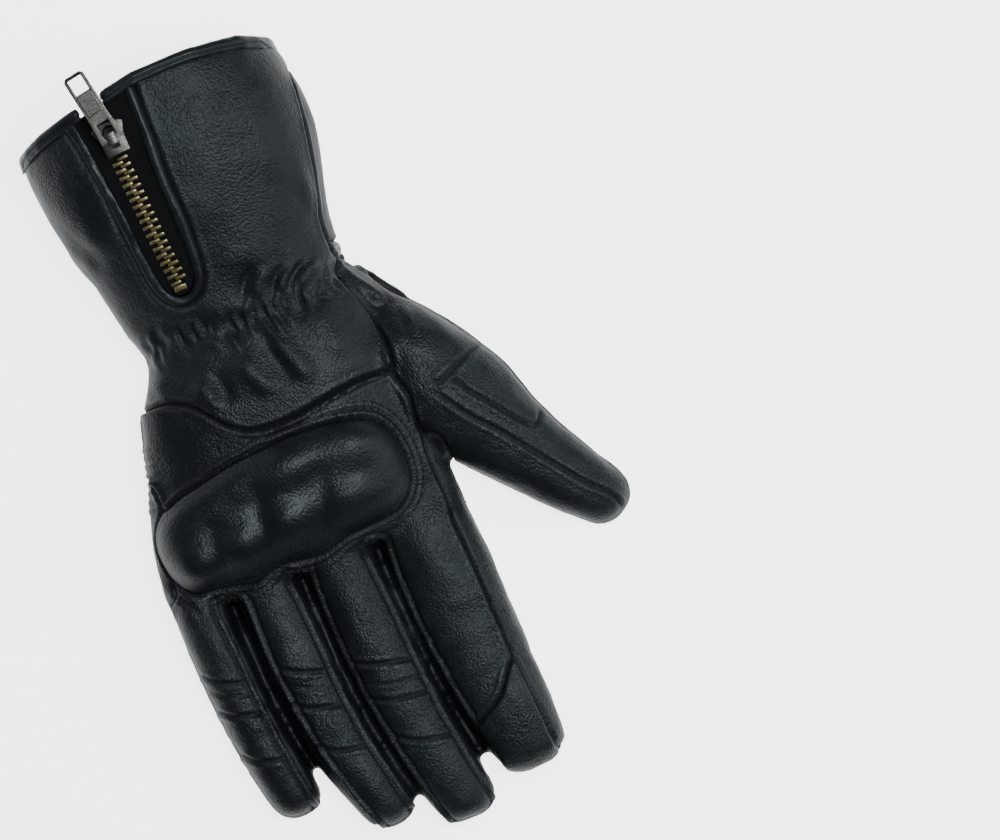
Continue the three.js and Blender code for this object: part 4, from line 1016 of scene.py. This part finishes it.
def makeSkin():
    places, faces = wholeSurface()
    labels = nearestPanel(places, faces)
    edges, sides = edgeTable(faces)
    labels = tidyLabels(labels, sides)
    print("skin: panels found")
    places, relief = sculptSkin(places, faces, labels, edges, sides)
    print("skin: sculpted")
    made = {}
    for number, name in enumerate(panelNames):
        chosen = faces[labels == number]
        made[name] = panelPiece(name, places, chosen, {"seam": relief.seam, "ridge": relief.ridge})
        print("skin:", name, len(chosen), "faces")
    tree = BVHTree.FromPolygons([Vector(place * mm) for place in places], faces.tolist())
    return made, tree


skinPieces, skinTree = makeSkin()


# The bound edge of the cuff

binding = {"voxel": 0.5, "smoothing": 24, "swell": 0.5, "stitchRow": 3.1, "groove": 0.45, "wide": 0.45}
hemLine = [(-54, 140), (-51.5, 143), (-50, 145.5), (-45, 147.8), (-35, 150), (-23, 152), (-10, 155), (0, 156.8),
           (10, 157.7), (20, 157.8), (30, 157.2), (40, 156.3), (48.5, 154.5), (52, 149.5)]


def makeBinding():
    piece = copyOf("cuffBinding", "cuff_binding", swell=binding["swell"])
    applyModifier(piece, "SUBSURF", levels=2, render_levels=2)
    remeshed(piece, binding["voxel"], binding["smoothing"])
    places, normal = points(piece), normals(piece)
    hem = np.array(hemLine)
    down = np.interp(places[:, 0], hem[:, 0], hem[:, 1]) - places[:, 1]
    cut = bell(down - binding["stitchRow"], binding["wide"])
    height = cloud(places, 6.0, 21) * 0.12 - binding["groove"] * cut
    setPoints(piece, places + normal * height[:, None])
    # painted shade in the stitch groove of the bound edge
    setMask(piece, "seam", cut * 0.8)
    # the rolled top of the bound edge, lightened by rubbed wear and a painted highlight
    setMask(piece, "ridge", bell(down - 1.0, 1.0) * 0.5)
    piece.data.materials.append(finishes["trim"])
    piece.data.shade_smooth()
    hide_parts("cuff_binding")
    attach(piece, "glove")
    print("binding made")


makeBinding()


# Zip: tape, brass chain, slider and pull

zipper = {
    "middle": [(-15.2, 132), (-14.6, 122), (-14.0, 112), (-13.5, 102), (-13.0, 93), (-12.2, 85), (-11.6, 78)],
    "pitch": 2.8,
    "reach": 3.3,           # from the middle of the chain to the back of a tooth
    "past": 0.75,           # how far a tooth reaches past the middle
    "thick": 1.25,
    "tall": 1.7,
    "tapeSpread": 1.14,
    "tapeRise": 1.3,
    "tapeVoxel": 0.4,
    "tapeSmoothing": 6,
    "noseInset": 0.12,
    "nose": 0.35,
    "rounding": 0.22,
    "lift": 0.35,           # of the teeth over the tape
    "first": 80.2,
    "last": 129.5,
}


def zipMiddle(y):
    line = np.array(zipper["middle"][::-1])
    return float(np.interp(y, line[:, 1], line[:, 0]))


def makeTape():
    piece = copyOf("zipTape", "zip_tape")
    places = points(piece)
    middle = np.array([zipMiddle(y) for y in places[:, 1]])
    places[:, 0] = middle + (places[:, 0] - middle) * zipper["tapeSpread"]
    places[:, 1] = np.where(places[:, 1] > zipper["last"], places[:, 1] + zipper["tapeRise"], places[:, 1])
    setPoints(piece, places)
    remeshed(piece, zipper["tapeVoxel"], zipper["tapeSmoothing"])
    piece.data.materials.append(finishes["tape"])
    piece.data.shade_smooth()
    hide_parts("zip_tape")
    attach(piece, "glove")
    return treeOf(piece)


# One tooth lying along +X from its root, with a narrower rounded nose, in mm.
def toothShape():
    bpy.ops.object.select_all(action="DESELECT")
    length = zipper["reach"] + zipper["past"]
    bpy.ops.mesh.primitive_cube_add(size=1)
    tooth = bpy.context.object
    tooth.scale = (length, zipper["thick"], zipper["tall"])
    bpy.ops.object.transform_apply(location=False, rotation=False, scale=True)
    bpy.ops.object.mode_set(mode="EDIT")
    bpy.ops.mesh.select_all(action="DESELECT")
    bm = bmesh.from_edit_mesh(tooth.data)
    for face in bm.faces:
        face.select = face.normal.x > 0.5
    bmesh.update_edit_mesh(tooth.data)
    bpy.ops.mesh.inset(thickness=zipper["noseInset"])
    bpy.ops.mesh.extrude_region_move(TRANSFORM_OT_translate={"value": (zipper["nose"], 0, 0)})
    bpy.ops.mesh.select_all(action="SELECT")
    bpy.ops.mesh.bevel(offset=zipper["rounding"], segments=2, affect="EDGES")
    bpy.ops.object.mode_set(mode="OBJECT")
    return tooth


# One mesh that holds the shape once for each frame: place, right, forward and upward, in metres.
def copiesJoined(name, shape, frames, material):
    base = np.array([vert.co for vert in shape.data.vertices])
    corners = [list(face.vertices) for face in shape.data.polygons]
    places, faces = [], []
    for place, right, forward, upward in frames:
        first = len(places) * len(base)
        places.append(place + base[:, :1] * right + base[:, 1:2] * forward + base[:, 2:] * upward)
        faces += [[first + index for index in face] for face in corners]
    mesh = bpy.data.meshes.new(name)
    mesh.from_pydata(np.concatenate(places), [], faces)
    mesh.validate()
    piece = linked(name, mesh)
    piece.data.materials.append(material)
    piece.data.shade_smooth()
    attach(piece, "glove")
    return piece


def makeTeeth(tapeTree):
    tooth = toothShape()
    for side, name in ((-1, "left"), (1, "right")):
        frames = []
        first = zipper["first"] + (zipper["pitch"] / 2 if side > 0 else 0)
        for y in np.arange(first, zipper["last"], zipper["pitch"]):
            x = zipMiddle(y)
            hit, normal, _, _ = tapeTree.ray_cast(Vector((x * mm, y * mm, 0.2)), -up)
            ahead = Vector(((zipMiddle(y + 1) - x), 1, 0)).normalized()
            ahead = (ahead - normal * ahead.dot(normal)).normalized()
            across = ahead.cross(normal)
            inward = -side * across
            middle = hit + normal * (zipper["tall"] / 2 + zipper["lift"]) * mm
            middle -= inward * (zipper["reach"] - zipper["past"]) / 2 * mm
            forward = normal.cross(inward)
            frames.append([np.array(value) for value in (middle, inward * mm, forward * mm, normal * mm)])
        piece = copiesJoined("zipTeeth" + name.title(), tooth, frames, finishes["brass"])
        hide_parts("zip_teeth_" + name)
    bpy.data.objects.remove(tooth)


# A CAD node's shape with worn, rounded edges.
def bevelled(name, node, width, material, body):
    piece = copyOf(name, node)
    applyModifier(piece, "BEVEL", width=width * mm, segments=3, limit_method="ANGLE", angle_limit=math.radians(28))
    chooseOnly(piece)
    bpy.ops.object.shade_smooth_by_angle(angle=math.radians(40))
    piece.data.materials.append(material)
    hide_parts(node)
    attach(piece, body)
    return piece


tapeTree = makeTape()
makeTeeth(tapeTree)
bevelled("zipBottomStop", "zip_bottom_stop", 0.3, finishes["brass"], "glove")
bevelled("zipSlider", "zip_slider", 0.32, finishes["nickel"], "glove")
zipPull = bevelled("zipPull", "zip_pull", 0.28, finishes["nickel"], "pull")
pullFace = {"alongStart": -2.4, "length": 8.6, "width": 6.3, "thick": 0.7, "border": 0.75, "sunk": 0.35,
            "proud": 0.12, "margin": 1.5, "rounding": 0.16}


# A raised frame round a dark bare field, on the broad part of the pull, in the pull's own directions.
def makePullFace():
    places = points(zipPull)
    middle = (places.max(0) + places.min(0)) / 2
    _, _, axes = np.linalg.svd(places - places.mean(0), full_matrices=False)
    along = axes[0] if axes[0][1] > 0 else -axes[0]
    above = axes[2] if axes[2][2] > 0 else -axes[2]
    across = np.cross(along, above)
    far = (places - middle) @ along
    halfway = pullFace["alongStart"] + pullFace["length"] / 2
    broad = np.abs(far - halfway) < pullFace["length"] / 2 + pullFace["margin"]
    top = ((places - middle) @ above)[broad].max()
    aside = ((places - middle) @ across)[broad]
    centre = (middle + along * halfway + above * (top - pullFace["thick"] / 2 + pullFace["proud"])
              + across * (aside.max() + aside.min()) / 2)
    bpy.ops.object.select_all(action="DESELECT")
    bpy.ops.mesh.primitive_cube_add(size=1)
    face = bpy.context.object
    face.name = "pullFace"
    face.scale = (pullFace["width"], pullFace["length"], pullFace["thick"])
    bpy.ops.object.transform_apply(location=False, rotation=False, scale=True)
    bpy.ops.object.mode_set(mode="EDIT")
    bpy.ops.mesh.select_all(action="DESELECT")
    bm = bmesh.from_edit_mesh(face.data)
    for side in bm.faces:
        if side.normal.z > 0.5:
            side.select_set(True)
    bmesh.update_edit_mesh(face.data)
    bpy.ops.mesh.inset(thickness=pullFace["border"])
    bpy.ops.mesh.extrude_region_move(TRANSFORM_OT_translate={"value": (0, 0, -pullFace["sunk"])})
    bpy.ops.object.mode_set(mode="OBJECT")
    face.data.materials.append(finishes["nickel"])
    face.data.materials.append(finishes["darkNickel"])
    for side in face.data.polygons:
        sunken = side.center.z < (pullFace["thick"] - pullFace["sunk"]) / 2
        side.material_index = int(sunken and side.normal.z > 0.5)
    turned = np.array([vert.co for vert in face.data.vertices])
    turned = centre + turned[:, :1] * across + turned[:, 1:2] * along + turned[:, 2:] * above
    setPoints(face, turned)
    applyModifier(face, "BEVEL", width=pullFace["rounding"] * mm, segments=2, limit_method="ANGLE",
                  angle_limit=math.radians(40))
    chooseOnly(face)
    bpy.ops.object.shade_smooth_by_angle(angle=math.radians(40))
    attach(face, "pull")


makePullFace()
print("zip made")


# Stitches

stitch = {"length": 1.9, "width": 0.52, "pitch": 2.7, "sunk": 0.05, "look": 0.3, "steepest": 0.2}
stitchRows = {
    "back": [
        {"line": backLines["guardRow"]["line"], "away": 0.0},
        {"line": backLines["guardRow"]["line"], "away": 2.6},
        {"line": backLines["backRow"]["line"], "away": 0.0},
        {"line": [(30, -112.5), (40, -106.3), (50, -96)], "away": 0.0},
    ],
    "palm": [
        {"line": palmLines["bandSeam"]["line"], "away": 2.0},
        {"line": palmLines["bandSeam"]["line"], "away": -2.0},
        {"line": palmLines["bandTop"]["line"], "away": 1.8},
        {"line": palmLines["thumbBase"]["line"], "away": 2.0},
        {"line": [(-18, 5.5), (-8, 5.2), (1, 4), (8, 0.5), (14, -5), (17, -12)], "away": 0.0},
    ] + [{"line": [(-29, y), (0, y + 0.6), (23, y)], "away": 0.0} for y in quiltRows["heights"]],
}


def stitchFrames(row, fromAbove):
    line = curved(row["line"], 10)
    far = np.r_[0, np.cumsum(np.hypot(*np.diff(line, axis=0).T))]
    way = -up if fromAbove else up
    frames = []
    for at in np.arange(stitch["pitch"] / 2, far[-1], stitch["pitch"]):
        x, y = np.interp(at, far, line[:, 0]), np.interp(at, far, line[:, 1])
        last, beyond = [[np.interp(at + shift, far, line[:, axis]) for axis in (0, 1)]
                        for shift in (-stitch["look"], stitch["look"])]
        ahead = Vector((beyond[0] - last[0], beyond[1] - last[1], 0)).normalized()
        x, y = x - ahead.y * row["away"], y + ahead.x * row["away"]
        hit, normal, _, _ = skinTree.ray_cast(Vector((x * mm, y * mm, 0.2 if fromAbove else -0.01)), way)
        if hit is None or abs(normal.z) < stitch["steepest"]:
            continue
        ahead = (ahead - normal * ahead.dot(normal)).normalized()
        aside = normal.cross(ahead)
        place = hit + normal * (stitch["width"] / 2 - stitch["sunk"]) * mm
        if not fromAbove:
            place.z = max(place.z, stitch["width"] / 2 * mm)
        frames.append([np.array(value) for value in (place, ahead * mm, aside * mm, normal * mm)])
    return frames


def makeStitches():
    bpy.ops.object.select_all(action="DESELECT")
    bpy.ops.mesh.primitive_uv_sphere_add(segments=8, ring_count=6, radius=0.5, rotation=(0, math.pi / 2, 0))
    shape = bpy.context.object
    shape.scale = (stitch["width"], stitch["width"], stitch["length"])
    bpy.ops.object.transform_apply(location=False, rotation=True, scale=True)
    for name, rows in stitchRows.items():
        frames = [made for row in rows for made in stitchFrames(row, name == "back")]
        piece = copiesJoined(name + "Stitches", shape, frames, finishes["thread"])
        print("stitches:", name, len(frames))
    bpy.data.objects.remove(shape)


makeStitches()


# Floor

# The paper is lit from below as well: what the camera sees, and what falls on the glove.
floorGlow = {"strength": 3.3, "seen": (1.0, 1.0, 1.0), "cast": (0.36, 0.36, 0.36)}


def makeFloor():
    material, tree, shader, _ = newMaterial("paleFloor")
    shader.inputs["Base Color"].default_value = (0.95, 0.95, 0.95, 1)
    shader.inputs["Roughness"].default_value = 0.85
    seen = addNode(tree, "ShaderNodeLightPath").outputs["Is Camera Ray"]
    tree.links.new(mixColour(tree, seen, floorGlow["cast"], floorGlow["seen"]), shader.inputs["Emission Color"])
    shader.inputs["Emission Strength"].default_value = floorGlow["strength"]
    bpy.ops.object.select_all(action="DESELECT")
    bpy.ops.mesh.primitive_plane_add(size=6, location=(0, 0, 0))
    floor = bpy.context.object
    floor.name = "floor"
    floor.data.materials.append(material)


makeFloor()
print("floor made")
